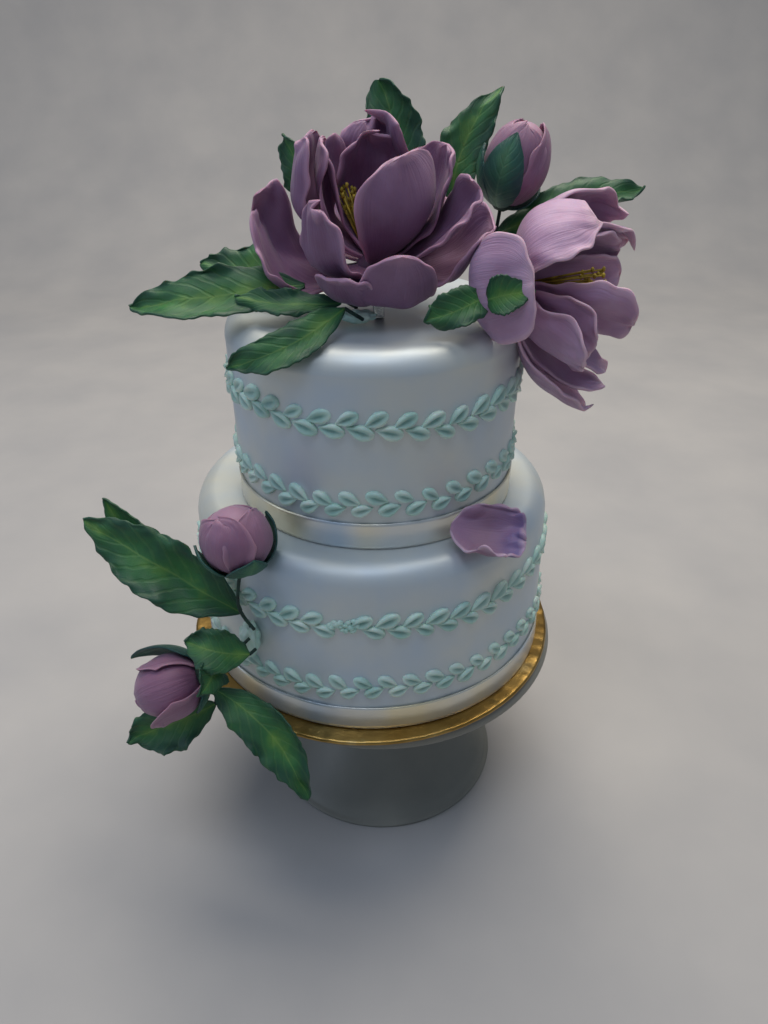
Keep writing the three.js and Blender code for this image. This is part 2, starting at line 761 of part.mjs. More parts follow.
// Petals of the top flower that lean away more than this belong to its outer ring.
const ringOpen = 40;
const outerPetals = mauveFlower.petals.filter((petal) => petal.open > ringOpen);
const innerPetals = mauveFlower.petals.filter((petal) => petal.open <= ringOpen);
addPart("flower_mauve_outer", finishes.mauvePaste, (grow) => {
  return flowerSolid(mauveFlower, outerPetals, hubs.mauveOuter, grow);
});
addPart("flower_mauve_inner", finishes.mauvePaste, (grow) => {
  return flowerSolid(mauveFlower, innerPetals, hubs.mauveInner, grow);
});
addPart("flower_lilac", finishes.lilacPaste, (grow) => {
  return flowerSolid(lilacFlower, lilacFlower.petals, hubs.lilac, grow);
});
addPart("stamens_mauve", finishes.yellowPaste, (grow) => stamenSolid(mauveFlower, grow));
addPart("stamens_lilac", finishes.yellowPaste, (grow) => stamenSolid(lilacFlower, grow));
for (const [name, bud] of Object.entries(buds)) {
  addPart(`bud_${name}`, finishes.mauvePaste, (grow) => budSolid(bud, grow));
  addPart(`calyx_${name}`, finishes.leafPaste, (grow) => calyxSolid(bud, grow));
}
addPart("flower_pick", finishes.clearPlastic, (grow) => {
  return rodSolid([pick.foot, pick.head], pick.radius + grow, pick.sides);
});
addPart("icing_blob_top", finishes.mintIcing, (grow) => smearSolid(smears.top, grow));
addPart("icing_blob_side", finishes.mintIcing, (grow) => smearSolid(smears.side, grow));
for (const [name, leaf] of Object.entries(topLeaves)) {
  addPart(`leaf_top_${name}`, finishes.leafPaste, (grow) => leafSolid(leaf, grow));
}
for (const [name, leaf] of Object.entries(sideLeaves)) {
  addPart(`leaf_side_${name}`, finishes.leafPaste, (grow) => leafSolid(leaf, grow));
}
addPart("loose_petal", finishes.lilacPaste, (grow) => grownBlade(leafBlade(loosePetal), petalGrid, grow));

export default cake;
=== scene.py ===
# %% [markdown]
# A wedding cake with sugar flowers
#
# The real object is two round cakes covered in rolled icing, brushed with pearl lustre, on a gold
# card and a cake stand. Its flowers, buds and leaves are sugar paste on wires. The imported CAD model
# is loaded first and stays fixed: every piece made here is in metres, in the same frame.

# %% Load the frame
import math

import bmesh
import bpy
from mathutils import Matrix, Vector, noise


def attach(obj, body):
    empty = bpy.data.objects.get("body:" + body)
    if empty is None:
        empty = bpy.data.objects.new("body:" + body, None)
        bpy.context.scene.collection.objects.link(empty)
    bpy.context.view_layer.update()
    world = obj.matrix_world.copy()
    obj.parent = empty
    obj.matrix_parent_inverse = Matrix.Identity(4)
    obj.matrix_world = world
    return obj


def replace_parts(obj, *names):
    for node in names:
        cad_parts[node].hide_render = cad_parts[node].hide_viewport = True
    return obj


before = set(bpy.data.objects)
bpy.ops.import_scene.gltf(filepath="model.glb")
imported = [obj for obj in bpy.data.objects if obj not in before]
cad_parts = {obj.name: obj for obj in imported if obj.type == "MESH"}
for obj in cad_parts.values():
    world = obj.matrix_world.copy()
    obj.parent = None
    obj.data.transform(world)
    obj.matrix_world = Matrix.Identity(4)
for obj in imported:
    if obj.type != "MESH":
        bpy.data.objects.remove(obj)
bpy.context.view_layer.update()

MM = 0.001
print("CAD nodes:", len(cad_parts))

# %% [markdown]
# The camera
#
# The photograph was taken with a phone, from a little over the top of the cake, looking down about
# 31 degrees. Solving for the rims of the tiers, the card and the foot gives its place and lens. It
# could be aimed with a Track To constraint, but a rotation worked out from the angles is exact.

# %% Camera
PHOTO_SIDE = 1024
FOCAL_PIXELS = 769
CAMERA_PLACE = (0, -404.5, 445.0)
PITCH, YAW, ROLL = 31.48, 1.01, 0.48


def add_object(name, data):
    """Put an object in the scene."""
    thing = bpy.data.objects.new(name, data)
    bpy.context.scene.collection.objects.link(thing)
    return thing


camera_data = bpy.data.cameras.new("photo_camera")
camera_data.sensor_width = 36
camera_data.lens = FOCAL_PIXELS / PHOTO_SIDE * camera_data.sensor_width
camera = add_object("photo_camera", camera_data)
turn = Matrix.Rotation(math.radians(-YAW), 4, "Z")
turn @= Matrix.Rotation(math.radians(90 - PITCH), 4, "X")
turn @= Matrix.Rotation(math.radians(-ROLL), 4, "Z")
camera.matrix_world = Matrix.Translation(Vector(CAMERA_PLACE) * MM) @ turn
bpy.context.scene.camera = camera
print("lens", round(camera_data.lens, 2), "mm")

# %% [markdown]
# Sizes
#
# The same driving sizes as the solids, in millimetres: everything else is worked out from them.

# %% Sizes of the stand, the card and the tiers
STAND = dict(center=(5, -1), foot=78, edge=3, neck=30, neck_height=66, plate=110, low=108.5, high=118.8,
             bead=1.2, lip=4, lip_rise=1.5, flare=2.1)
CARD = dict(center=(-2, -1), radius=114.7, low=119.1, high=122.3)
BOTTOM = dict(center=(0, 0), low=122.6, high=225.2, foot=105, head=103, shoulder=12)
TOP = dict(center=(2.4, -4.1), low=225.5, high=328, foot=77.2, head=78.4, shoulder=12)
RIBBON = dict(height=15, thickness=0.8, gap=0.3, lift=0.2, ripples=5, ripple=0.0012)


def tier_radius(tier, z):
    t = (z - tier["low"]) / (tier["high"] - tier["low"])
    return tier["foot"] + (tier["head"] - tier["foot"]) * t


# %% [markdown]
# Materials
#
# Each finish is a small node tree on a Principled shader. One function adds a node with all that it
# needs and links it, and one turns an sRGB hex value into the linear colour that the shader expects.
# Patterns sit on Object coordinates, so they stay put on a piece and have a size in millimetres.

# %% Helpers for materials
def linear(hex_color):
    parts = [int(hex_color[i : i + 2], 16) / 255 for i in (1, 3, 5)]
    return tuple(c / 12.92 if c <= 0.04045 else ((c + 0.055) / 1.055) ** 2.4 for c in parts) + (1,)


def add_node(tree, kind, links=(), values=(), stops=(), out=None, to=None, **settings):
    """Add a node with its settings, values, colour stops and links, and give back its output."""
    node = tree.nodes.new(kind)
    for name, value in settings.items():
        setattr(node, name, value)
    for name, value in dict(values).items():
        node.inputs[name].default_value = value
    for name, source in dict(links).items():
        tree.links.new(source, node.inputs[name])
    elements = node.color_ramp.elements if stops else []
    while len(elements) < len(stops):
        elements.new(0.5)
    for element, (place, hex_color) in zip(elements, stops):
        element.position = place
        element.color = linear(hex_color)
    output = node.outputs[out] if out else next(socket for socket in node.outputs if socket.enabled)
    if to is not None:
        tree.links.new(output, to)
    return output


def new_material(name, **shader_values):
    """A material with its node tree and the sockets of its Principled shader."""
    material = bpy.data.materials.new(name)
    material.use_nodes = True
    tree = material.node_tree
    sockets = tree.nodes["Principled BSDF"].inputs
    for socket, value in shader_values.items():
        sockets[socket.replace("_", " ")].default_value = value
    return material, tree, sockets


def patches(tree, size_mm, detail=3, rough=0.5, stretch=(1, 1, 1)):
    """Soft uneven patches of a real size, fixed to the piece."""
    place = add_node(tree, "ShaderNodeTexCoord", out="Object")
    scaled = add_node(tree, "ShaderNodeMapping", {"Vector": place}, {"Scale": stretch})
    return add_node(tree, "ShaderNodeTexNoise", {"Vector": scaled},
                    {"Scale": 1 / (size_mm * MM), "Detail": detail, "Roughness": rough})


# %% [markdown]
# Rolled icing is brushed with pearl dust: fine mica flakes in a matte white paste. The eye sees a
# broad soft glare on every edge that faces the light, and cool grey sides. A part-metallic shader
# with a medium roughness gives that, and slow noise in the roughness gives the brush's unevenness.

# %% Pearl icing
def pearl_icing():
    material, tree, sockets = new_material("rolled_icing_pearl_brushed", Metallic=0.4, Roughness=0.46,
                                           Coat_Weight=0.1, Coat_Roughness=0.4)
    add_node(tree, "ShaderNodeValToRGB", {"Fac": patches(tree, size_mm=60, detail=4)},
             stops=[(0.3, "#BCCBD8"), (0.7, "#D8D8CC")], to=sockets["Base Color"])
    brushed = patches(tree, size_mm=25, detail=5, stretch=(1, 1, 0.4))
    add_node(tree, "ShaderNodeMapRange", {"Value": brushed}, {"To Min": 0.40, "To Max": 0.56},
             to=sockets["Roughness"])
    add_node(tree, "ShaderNodeBump", {"Height": patches(tree, size_mm=9)},
             {"Distance": 0.12 * MM, "Strength": 0.5}, to=sockets["Normal"])
    return material


# %% [markdown]
# Royal icing is piped wet and dries with a soft satin surface and tiny drag lines. The drops' UV map
# says how deep in a hollow a point lies, and a darker mint is painted there as painted shade.

# %% Mint icing
def mint_icing():
    material, tree, sockets = new_material("royal_icing_piped_mint", Roughness=0.42,
                                           Subsurface_Weight=0.12, Subsurface_Scale=0.002,
                                           Coat_Weight=0.15, Coat_Roughness=0.25)
    raised = add_node(tree, "ShaderNodeValToRGB", {"Fac": patches(tree, size_mm=14)},
                      stops=[(0.3, "#B2D6C8"), (0.5, "#CAE6D8"), (0.75, "#E4F1E2")])
    # Painted shade: the hollow of each drop is mixed toward a darker mint.
    drop_map = add_node(tree, "ShaderNodeUVMap", uv_map="drop")
    hollow = add_node(tree, "ShaderNodeSeparateXYZ", {"Vector": drop_map}, out="X")
    add_node(tree, "ShaderNodeMix", {"Factor": hollow, "A": raised}, {"B": linear("#7FAFA6")},
             data_type="RGBA", to=sockets["Base Color"])
    add_node(tree, "ShaderNodeBump", {"Height": patches(tree, size_mm=1.2)},
             {"Distance": 0.15 * MM, "Strength": 0.6}, to=sockets["Normal"])
    return material


# %% [markdown]
# Satin ribbon is a close weave whose long floats all run round the cake, so its glare is stretched
# up and down. Anisotropy on the shader gives that, and a fine streak along the ribbon is the yarn.
# Its colour is a painted reflection of the room, cool in places and cream in others, drifting round the
# ring.

# %% Satin ribbon
def satin_ribbon():
    material, tree, sockets = new_material("polyester_ribbon_satin_woven", Metallic=0.55, Roughness=0.24,
                                           Sheen_Weight=0.2, Anisotropic=0.7)
    # Painted reflection: cool and cream patches in the base colour stand for the room seen in the satin.
    room = patches(tree, size_mm=42, detail=1, stretch=(1, 1, 0.2))
    add_node(tree, "ShaderNodeValToRGB", {"Fac": room}, to=sockets["Base Color"],
             stops=[(0.35, "#B9CBDC"), (0.5, "#DCDDD8"), (0.65, "#EFE2BE")])
    yarn = patches(tree, size_mm=0.8, detail=2, stretch=(0.1, 0.1, 4.0))
    add_node(tree, "ShaderNodeBump", {"Height": yarn}, {"Distance": 0.05 * MM, "Strength": 0.5},
             to=sockets["Normal"])
    return material


# %% [markdown]
# The cake card is board wrapped in gold foil. The foil is wrinkled where it turns over the rim, so
# the roughness and a fine bump change with place; the big crimps are modelled in the piece.

# %% Gold foil
def gold_foil():
    material, tree, sockets = new_material("card_foil_gold_pressed", Metallic=1.0, Roughness=0.3)
    add_node(tree, "ShaderNodeValToRGB", {"Fac": patches(tree, size_mm=18, detail=5)},
             stops=[(0.3, "#8A6C38"), (0.6, "#AE8E52"), (0.8, "#CDB47E")], to=sockets["Base Color"])
    add_node(tree, "ShaderNodeMapRange", {"Value": patches(tree, size_mm=6, detail=4)},
             {"To Min": 0.2, "To Max": 0.45}, to=sockets["Roughness"])
    add_node(tree, "ShaderNodeBump", {"Height": patches(tree, size_mm=3, detail=4, rough=0.6)},
             {"Distance": 0.25 * MM, "Strength": 0.6}, to=sockets["Normal"])
    return material


# %% [markdown]
# The stand is spun metal with a satin warm-grey coat: smooth, with a faint speckle and no wear.

# %% Stand paint
def stand_paint():
    material, tree, sockets = new_material("spun_steel_powder_coated_grey", Roughness=0.5,
                                           Coat_Weight=0.1, Coat_Roughness=0.4)
    add_node(tree, "ShaderNodeValToRGB", {"Fac": patches(tree, size_mm=40, detail=4)},
             stops=[(0.3, "#77776F"), (0.7, "#85847A")], to=sockets["Base Color"])
    add_node(tree, "ShaderNodeBump", {"Height": patches(tree, size_mm=1.5, detail=2)},
             {"Distance": 0.04 * MM, "Strength": 0.5}, to=sockets["Normal"])
    return material


# %% [markdown]
# Sugar paste petals are rolled thin, veined with a tool and dusted with dry colour. The dust lies
# thicker near the base and the paste stays pale at the thin rim; at the very foot the colour turns
# nearly black, which is painted shade for the flower's heart. The piece carries a UV map that runs
# across and along each petal, so the rim, the veins, the dusting and the painted shade follow the
# petal's shape.

# %% Petal paste
# Painted shade: the near-black colour at each petal's foot, where the heart is in shadow.
PAINTED_THROAT_SHADE = "#2B1A2A"
RIM = dict(side=0.42, end=0.93)
PETAL_VEINS = dict(scale=(38, 2.2, 1), depth=0.9, strength=0.55)


def blade_parts(tree):
    """The blade's map, how far along it a point lies, how near its rim, and how far off its middle."""
    blade_map = add_node(tree, "ShaderNodeUVMap", uv_map="blade")
    across = add_node(tree, "ShaderNodeSeparateXYZ", {"Vector": blade_map}, out="X")
    along = across.node.outputs["Y"]
    centred = add_node(tree, "ShaderNodeMath", {0: across}, {1: 0.5}, operation="SUBTRACT")
    off_middle = add_node(tree, "ShaderNodeMath", {0: centred}, operation="ABSOLUTE")
    rim_side = add_node(tree, "ShaderNodeMapRange", {"Value": off_middle},
                        {"From Min": RIM["side"], "From Max": 0.5})
    rim_end = add_node(tree, "ShaderNodeMapRange", {"Value": along},
                       {"From Min": RIM["end"], "From Max": 1.0})
    rim = add_node(tree, "ShaderNodeMath", {0: rim_side, 1: rim_end}, operation="MAXIMUM")
    return blade_map, along, rim, off_middle


def petal_paste(name, base, middle, end, rim_color, rim_strength, throat_shade=PAINTED_THROAT_SHADE):
    material, tree, sockets = new_material(name, Roughness=0.55, Subsurface_Weight=0.15,
                                           Subsurface_Scale=0.003, Sheen_Weight=0.15)
    blade_map, along, rim, _ = blade_parts(tree)
    # The ramp starts at the painted shade of the foot, then runs through the dusted colours.
    body = add_node(tree, "ShaderNodeValToRGB", {"Fac": along},
                    stops=[(0.0, throat_shade), (0.14, base), (0.5, middle), (0.95, end)])
    dust = add_node(tree, "ShaderNodeMapRange", {"Value": patches(tree, size_mm=22, detail=4)},
                    {"From Min": 0.35, "From Max": 0.7, "To Max": 0.6})
    dusted = add_node(tree, "ShaderNodeMix", {"Factor": dust, "A": body}, {"B": linear(base)},
                      data_type="RGBA")
    pale = add_node(tree, "ShaderNodeMath", {0: rim}, {1: rim_strength}, operation="MULTIPLY")
    add_node(tree, "ShaderNodeMix", {"Factor": pale, "A": dusted}, {"B": linear(rim_color)},
             data_type="RGBA", to=sockets["Base Color"])
    veined = add_node(tree, "ShaderNodeMapping", {"Vector": blade_map}, {"Scale": PETAL_VEINS["scale"]})
    veins = add_node(tree, "ShaderNodeTexNoise", {"Vector": veined},
                     {"Scale": 1.0, "Detail": 4.0, "Roughness": 0.6})
    add_node(tree, "ShaderNodeBump", {"Height": veins}, to=sockets["Normal"],
             values={"Distance": PETAL_VEINS["depth"] * MM, "Strength": PETAL_VEINS["strength"]})
    return material


# %% [markdown]
# Leaves are the same paste in green, dusted darker and bluer toward the rim with a yellow-green
# heart, then steamed, which leaves a satin glare. Side veins run slantwise from the midrib: the sine
# of a place along the leaf makes their stripes, and a little noise makes them crooked.

# %% Leaf paste
LEAF_VEINS = dict(stripes=52.0, slant=-0.55, crooked=0.07, paleness=0.09, depth=0.35)


def leaf_paste(name, heart, middle, rim, vein):
    material, tree, sockets = new_material(name, Roughness=0.5, Coat_Weight=0.08, Coat_Roughness=0.4,
                                           Subsurface_Weight=0.15, Subsurface_Scale=0.003)
    blade_map, along, _, off_middle = blade_parts(tree)
    shade = add_node(tree, "ShaderNodeMath", {0: off_middle, 1: patches(tree, size_mm=16, detail=4)},
                     operation="ADD")
    green = add_node(tree, "ShaderNodeValToRGB", {"Fac": shade},
                     stops=[(0.38, heart), (0.62, middle), (0.95, rim)])
    start = add_node(tree, "ShaderNodeMath", {0: along}, {1: 1.0}, operation="SUBTRACT")
    slant = add_node(tree, "ShaderNodeMath", {0: off_middle}, {1: LEAF_VEINS["slant"]},
                     operation="MULTIPLY")
    phase = add_node(tree, "ShaderNodeMath", {0: start, 1: slant}, operation="ADD")
    crooked = add_node(tree, "ShaderNodeMath", {0: patches(tree, size_mm=9, detail=2), 2: phase},
                       {1: LEAF_VEINS["crooked"]}, operation="MULTIPLY_ADD")
    stripes = add_node(tree, "ShaderNodeMath", {0: crooked}, {1: LEAF_VEINS["stripes"]},
                       operation="MULTIPLY")
    ridge = add_node(tree, "ShaderNodeMath", {0: stripes}, operation="SINE")
    sharp = add_node(tree, "ShaderNodeMapRange", {"Value": ridge}, {"From Min": 0.55, "From Max": 1.0})
    side_veins = add_node(tree, "ShaderNodeMath", {0: sharp}, {1: LEAF_VEINS["paleness"]},
                          operation="MULTIPLY")
    midrib = add_node(tree, "ShaderNodeMapRange", {"Value": off_middle},
                      {"From Min": 0.025, "From Max": 0.005, "To Max": 0.35})
    pale = add_node(tree, "ShaderNodeMath", {0: side_veins, 1: midrib}, operation="MAXIMUM")
    add_node(tree, "ShaderNodeMix", {"Factor": pale, "A": green}, {"B": linear(vein)},
             data_type="RGBA", to=sockets["Base Color"])
    fine = add_node(tree, "ShaderNodeMapping", {"Vector": blade_map}, {"Scale": (30, 30, 1)})
    grain = add_node(tree, "ShaderNodeTexNoise", {"Vector": fine}, {"Detail": 4.0})
    height = add_node(tree, "ShaderNodeMath", {0: grain, 1: sharp}, operation="SUBTRACT")
    add_node(tree, "ShaderNodeBump", {"Height": height},
             {"Distance": LEAF_VEINS["depth"] * MM, "Strength": 0.5}, to=sockets["Normal"])
    return material


# %% [markdown]
# Small finishes, whose colour drifts a little between two shades: the yellow stamens, the floral
# tape on the wires, and the clear pick.

# %% Stamens, tape and clear plastic
def plain_finish(name, size_mm, dark, light, detail=3, **shader_values):
    material, tree, sockets = new_material(name, **shader_values)
    add_node(tree, "ShaderNodeValToRGB", {"Fac": patches(tree, size_mm, detail)},
             stops=[(0.3, dark), (0.7, light)], to=sockets["Base Color"])
    return material


PEARL = pearl_icing()
MINT = mint_icing()
SATIN = satin_ribbon()
GOLD = gold_foil()
PAINT = stand_paint()
MAUVE = petal_paste("sugar_paste_petal_mauve", "#64375A", "#80597C", "#936F8F", "#C094AC", 0.75)
BUD = petal_paste("sugar_paste_bud_mauve", "#764A69", "#946A83", "#9B728C", "#BC90A4", 0.6)
# The right flower's paste is the mauve painted lighter and pinker, as painted light from the right.
PAINTED_LIT_MAUVE = petal_paste("sugar_paste_petal_mauve_painted_light", "#9B6C8E", "#B592B2", "#C4A2BE", "#DDB9C6", 0.7)
FALLEN = petal_paste("sugar_paste_petal_fallen", "#A27E9C", "#8F6C7C", "#75689C", "#D2B4C6", 0.85,
                     throat_shade="#B08CA8")
LEAF = leaf_paste("sugar_paste_leaf_dusted", "#5F8C36", "#2F6C36", "#164A32", "#7C9E54")
SEPAL = leaf_paste("sugar_paste_sepal_dusted", "#4C8058", "#2E6652", "#184844", "#5C9070")
STAMEN = plain_finish("sugar_paste_stamens_yellow", 4, "#6E5A14", "#B9A22E", Roughness=0.7)
TAPE = plain_finish("paper_tape_floral_green", 5, "#13261F", "#24443A", Roughness=0.7)
CLEAR = plain_finish("polystyrene_pick_moulded_clear", 8, "#B9BFC2", "#D5D9DA", Roughness=0.12,
                     IOR=1.55, Transmission_Weight=0.7)
print("materials:", len(bpy.data.materials))


# %% [markdown]
# Turning a profile
#
# Tiers, card and stand are round, so each is a profile spun about its axis. A cylinder with a bevel
# would do for a tier, but a profile gives the foot, the draft of the wall and the soft shoulder in
# one go, and the poles close by themselves when doubles are merged.

# %% Helpers for pieces
def finish_mesh(name, bm, material):
    """Turn the faces outwards, smooth them and put the mesh in the scene."""
    bmesh.ops.recalc_face_normals(bm, faces=bm.faces)
    for face in bm.faces:
        face.smooth = True
    mesh = bpy.data.meshes.new(name)
    bm.to_mesh(mesh)
    bm.free()
    mesh.materials.append(material)
    return add_object(name, mesh)


def finish_piece(name, bm, material):
    piece = finish_mesh(name, bm, material)
    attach(piece, "root")
    print(name, len(piece.data.vertices), "vertices")
    return piece


def trace(bm, places):
    """Vertices at places in metres, each joined to the next by an edge."""
    points = [bm.verts.new(place) for place in places]
    return points, [bm.edges.new(pair) for pair in zip(points, points[1:])]


def move_to(bm, center):
    bmesh.ops.translate(bm, verts=bm.verts, vec=(center[0] * MM, center[1] * MM, 0))


def spun(profile, steps):
    """A profile of radii and heights in millimetres, turned once about the z axis."""
    bm = bmesh.new()
    points, edges = trace(bm, [(r * MM, 0, z * MM) for r, z in profile])
    bmesh.ops.spin(bm, geom=points + edges, cent=(0, 0, 0), axis=(0, 0, 1), dvec=(0, 0, 0),
                   angle=2 * math.pi, steps=steps, use_merge=True)
    bmesh.ops.remove_doubles(bm, verts=bm.verts, dist=0.02 * MM)
    return bm


def ring_noise(vert, often, level):
    """Noise that closes on itself round a ring."""
    angle = math.atan2(vert.co.y, vert.co.x)
    return noise.noise(Vector((math.cos(angle) * often, math.sin(angle) * often, level)))


def arc(cx, cz, radius, start, end, steps):
    angles = [math.radians(start + (end - start) * i / steps) for i in range(steps + 1)]
    return [(cx + radius * math.cos(a), cz + radius * math.sin(a)) for a in angles]


# %% [markdown]
# The stand is spun sheet: a thin-edged foot, a bell that rises to a hidden neck, and a thick round
# plate. Its slope is the same power curve as in the solid, with many more points.

# %% Stand
FOOT_LIP = [(2.5, 0), (3.4, 0.4)]
UNDER_PLATE = [(0, 16), (8, 6), (22, 2.5)]


def bell(t):
    """The slope from the foot's lip up to the neck, t from 0 to 1."""
    s = STAND
    radius = s["neck"] + (s["foot"] - s["lip"] - s["neck"]) * (1 - t) ** s["flare"]
    start = s["edge"] + s["lip_rise"]
    return radius, start + (s["neck_height"] - s["edge"] - s["lip_rise"]) * t


def make_stand():
    s = STAND
    foot = [(0, 0), (s["foot"] - 1, 0)] + arc(s["foot"] - s["bead"], s["bead"], s["bead"], -80, 80, 6)
    foot += [(s["foot"] - inward, s["edge"] + up) for inward, up in FOOT_LIP]
    slope = [bell(i / 24) for i in range(25)]
    neck = [(s["neck"] - 2, s["neck_height"] + 12)]
    neck += [(s["neck"] + outward, s["low"] - under) for outward, under in UNDER_PLATE]
    neck += [(s["plate"] - 30, s["low"] - 0.4)]
    middle = (s["low"] + s["high"]) / 2
    half = (s["high"] - s["low"]) / 2
    rim = arc(s["plate"] - half, middle, half, -75, 78, 12)
    bm = spun(foot + slope + neck + rim + [(0, s["high"])], steps=128)
    move_to(bm, s["center"])
    stand = finish_piece("cake_stand", bm, PAINT)
    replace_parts(stand, "stand")


make_stand()


# %% [markdown]
# The card's foil is folded over the rim and pressed, which leaves a ring of short radial crimps. A
# spun disc has its outer ring of vertices lifted and dropped in turn to make them.

# %% Cake card
CRIMPS = dict(often=30, level=0.5, ring=9, grow=6, height=0.5, drop=0.15, reach=0.0015)


def make_card():
    c = CARD
    rim = arc(c["radius"] - 1.5, (c["low"] + c["high"]) / 2, 1.5, -90, 90, 8)
    inner = [(c["radius"] - step, c["high"]) for step in (3, 5, 7, 9, 12)]
    bm = spun([(0, c["low"])] + rim + inner + [(0, c["high"])], steps=300)
    for vert in bm.verts:
        reach = vert.co.xy.length / MM
        if reach > c["radius"] - CRIMPS["ring"] and vert.co.z > (c["low"] + 1) * MM:
            crimp = ring_noise(vert, CRIMPS["often"], CRIMPS["level"])
            fold = min(1, (reach - c["radius"] + CRIMPS["ring"]) / CRIMPS["grow"])
            vert.co.z += (CRIMPS["height"] * crimp - CRIMPS["drop"]) * fold * MM
            vert.co.xy *= 1 + CRIMPS["reach"] * crimp * fold
    move_to(bm, c["center"])
    card = finish_piece("cake_card_foil", bm, GOLD)
    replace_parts(card, "cake_card")


make_card()


# %% [markdown]
# Rolled icing drapes over the cake: the wall is nearly straight and the shoulder is soft. Hands and
# a smoother leave slow hollows of a few tenths of a millimetre, which show in the pearl's glare.

# %% Tiers
HOLLOWS = [(28, 0.45), (70, 0.15)]


def make_tier(name, tier, node):
    r = tier["shoulder"]
    low, rise = tier["low"], tier["high"] - r - tier["low"]
    wall = [(tier_radius(tier, z), z) for z in (low + rise * i / 16 for i in range(17))]
    shoulder = arc(tier["head"] - r, tier["high"] - r, r, 4, 86, 14)
    top = [(tier["head"] - r - step, tier["high"]) for step in (2, 8, 18, 32, 48)]
    bm = spun([(0, low)] + wall + shoulder + top + [(0, tier["high"])], steps=144)
    move_to(bm, tier["center"])
    for vert in bm.verts:
        slow = sum(noise.noise(vert.co * often) * depth for often, depth in HOLLOWS)
        vert.co += Vector((vert.co.x, vert.co.y, 0)).normalized() * slow * MM
    piece = finish_piece(name, bm, PEARL)
    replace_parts(piece, node)


make_tier("icing_bottom", BOTTOM, "tier_bottom")
make_tier("icing_top", TOP, "tier_top")


# %% [markdown]
# Each ribbon is one band, cut to go round once with a short overlap at the back. It is a spun strip
# that closes on itself; Solidify would also give it thickness, but a closed profile is exact.

# %% Ribbons
def make_ribbon(name, tier, node):
    low, high = tier["low"] + RIBBON["lift"], tier["low"] + RIBBON["height"]
    gap, thick = RIBBON["gap"], RIBBON["thickness"]
    foot, head = tier_radius(tier, low) + gap, tier_radius(tier, high) + gap
    steps = 8
    outer = [(foot + (head - foot) * i / steps + thick, low + (high - low) * i / steps)
             for i in range(steps + 1)]
    bm = spun([(foot, low)] + outer + [(head, high), (foot, low)], steps=180)
    for vert in bm.verts:
        ripple = ring_noise(vert, RIBBON["ripples"], vert.co.z * 60)
        vert.co.xy *= 1 + RIBBON["ripple"] * (ripple + 0.5)
    move_to(bm, tier["center"])
    piece = finish_piece(name, bm, SATIN)
    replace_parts(piece, node)


make_ribbon("satin_band_bottom", BOTTOM, "ribbon_bottom")
make_ribbon("satin_band_top", TOP, "ribbon_top")


# %% [markdown]
# Piped borders
#
# Each drop is squeezed from a cut bag, so it has a thin tail, a fat head, a raised rim and a hollow
# down the middle. One drop is shaped from a small sphere, then copied in pairs round the tier, one
# leaning up and one leaning down, with the pair's size and tilt varied a little each time.

# %% Piped borders
DROP = dict(length=13.5, half=4.1, height=4.4, groove=0.95, small_length=11.8, small_half=3.8,
            small_groove=0.85, spread=3.1, up=28, down=-18, lift=0.1, tail=0.3, full_at=0.65, swell=1.3,
            groove_half=0.5, under=0.5, thin=0.45, shade=1.1)
HAND = dict(behind=0.45, ripples=7, ripple=0.9, rise=0.9, tilt=16, size=0.16, height=0.2)
BORDERS = [
    dict(tier="top", height=293.8, pairs=36, wave=2.2, phase=0.4, heads=1, small=False),
    dict(tier="top", height=252.4, pairs=36, wave=1.6, phase=2.1, heads=-1, small=True),
    dict(tier="bottom", height=193.6, pairs=50, wave=2.0, phase=1.2, heads=1, small=False,
         broken=True),
    dict(tier="bottom", height=151.7, pairs=50, wave=1.8, phase=3.0, heads=-1, small=True),
]
TIERS = {"top": TOP, "bottom": BOTTOM}
BREAK = dict(angle=4.56, width=0.075, crumbs=26, size=1.5, scatter=6, turn=3, uneven=0.7,
             squash=(1.4, 0.9, 1.1))


def add_drop(bm, place, length, half, height, groove):
    """One drop: a sphere drawn out to a tail, with a hollow down the middle of its outer side."""
    uv_layer = bm.loops.layers.uv.get("drop") or bm.loops.layers.uv.new("drop")
    made = bmesh.ops.create_uvsphere(bm, u_segments=14, v_segments=7, radius=1)["verts"]
    for vert in made:
        x, y, z = vert.co.z, vert.co.x, vert.co.y
        t = (x + 1) / 2
        fullness = math.sin(math.pi / 2 * min(1, t / DROP["full_at"])) ** DROP["swell"]
        taper = DROP["tail"] + (1 - DROP["tail"]) * fullness
        across = math.exp(-((y / DROP["groove_half"]) ** 2))
        hollow = groove * across * max(0, z) * math.sin(math.pi * t) ** 0.5
        # The UV map's first value is how much painted shade the hollow gets.
        for loop in vert.link_loops:
            loop[uv_layer].uv = (min(1, DROP["shade"] * hollow), t)
        rise = (z if z > 0 else DROP["under"] * z) - hollow
        thick = height * (DROP["thin"] + (1 - DROP["thin"]) * taper)
        vert.co = Vector((x * length / 2, y * half * taper, rise * thick)) * MM
    bmesh.ops.transform(bm, matrix=place, verts=made)


def wall_place(tier, angle, z, heads, tilt):
    """A frame on the tier's wall: x along the ring, y across it, z out of the wall."""
    out = Vector((math.cos(angle), math.sin(angle), 0))
    along = Vector((-out.y, out.x, 0)) * heads
    basis = Matrix((along, out.cross(along), out)).transposed().to_4x4()
    radius = tier_radius(tier, z) + DROP["lift"]
    spot = Vector((tier["center"][0] + radius * out.x, tier["center"][1] + radius * out.y, z)) * MM
    return Matrix.Translation(spot) @ basis @ Matrix.Rotation(tilt, 4, "Z")


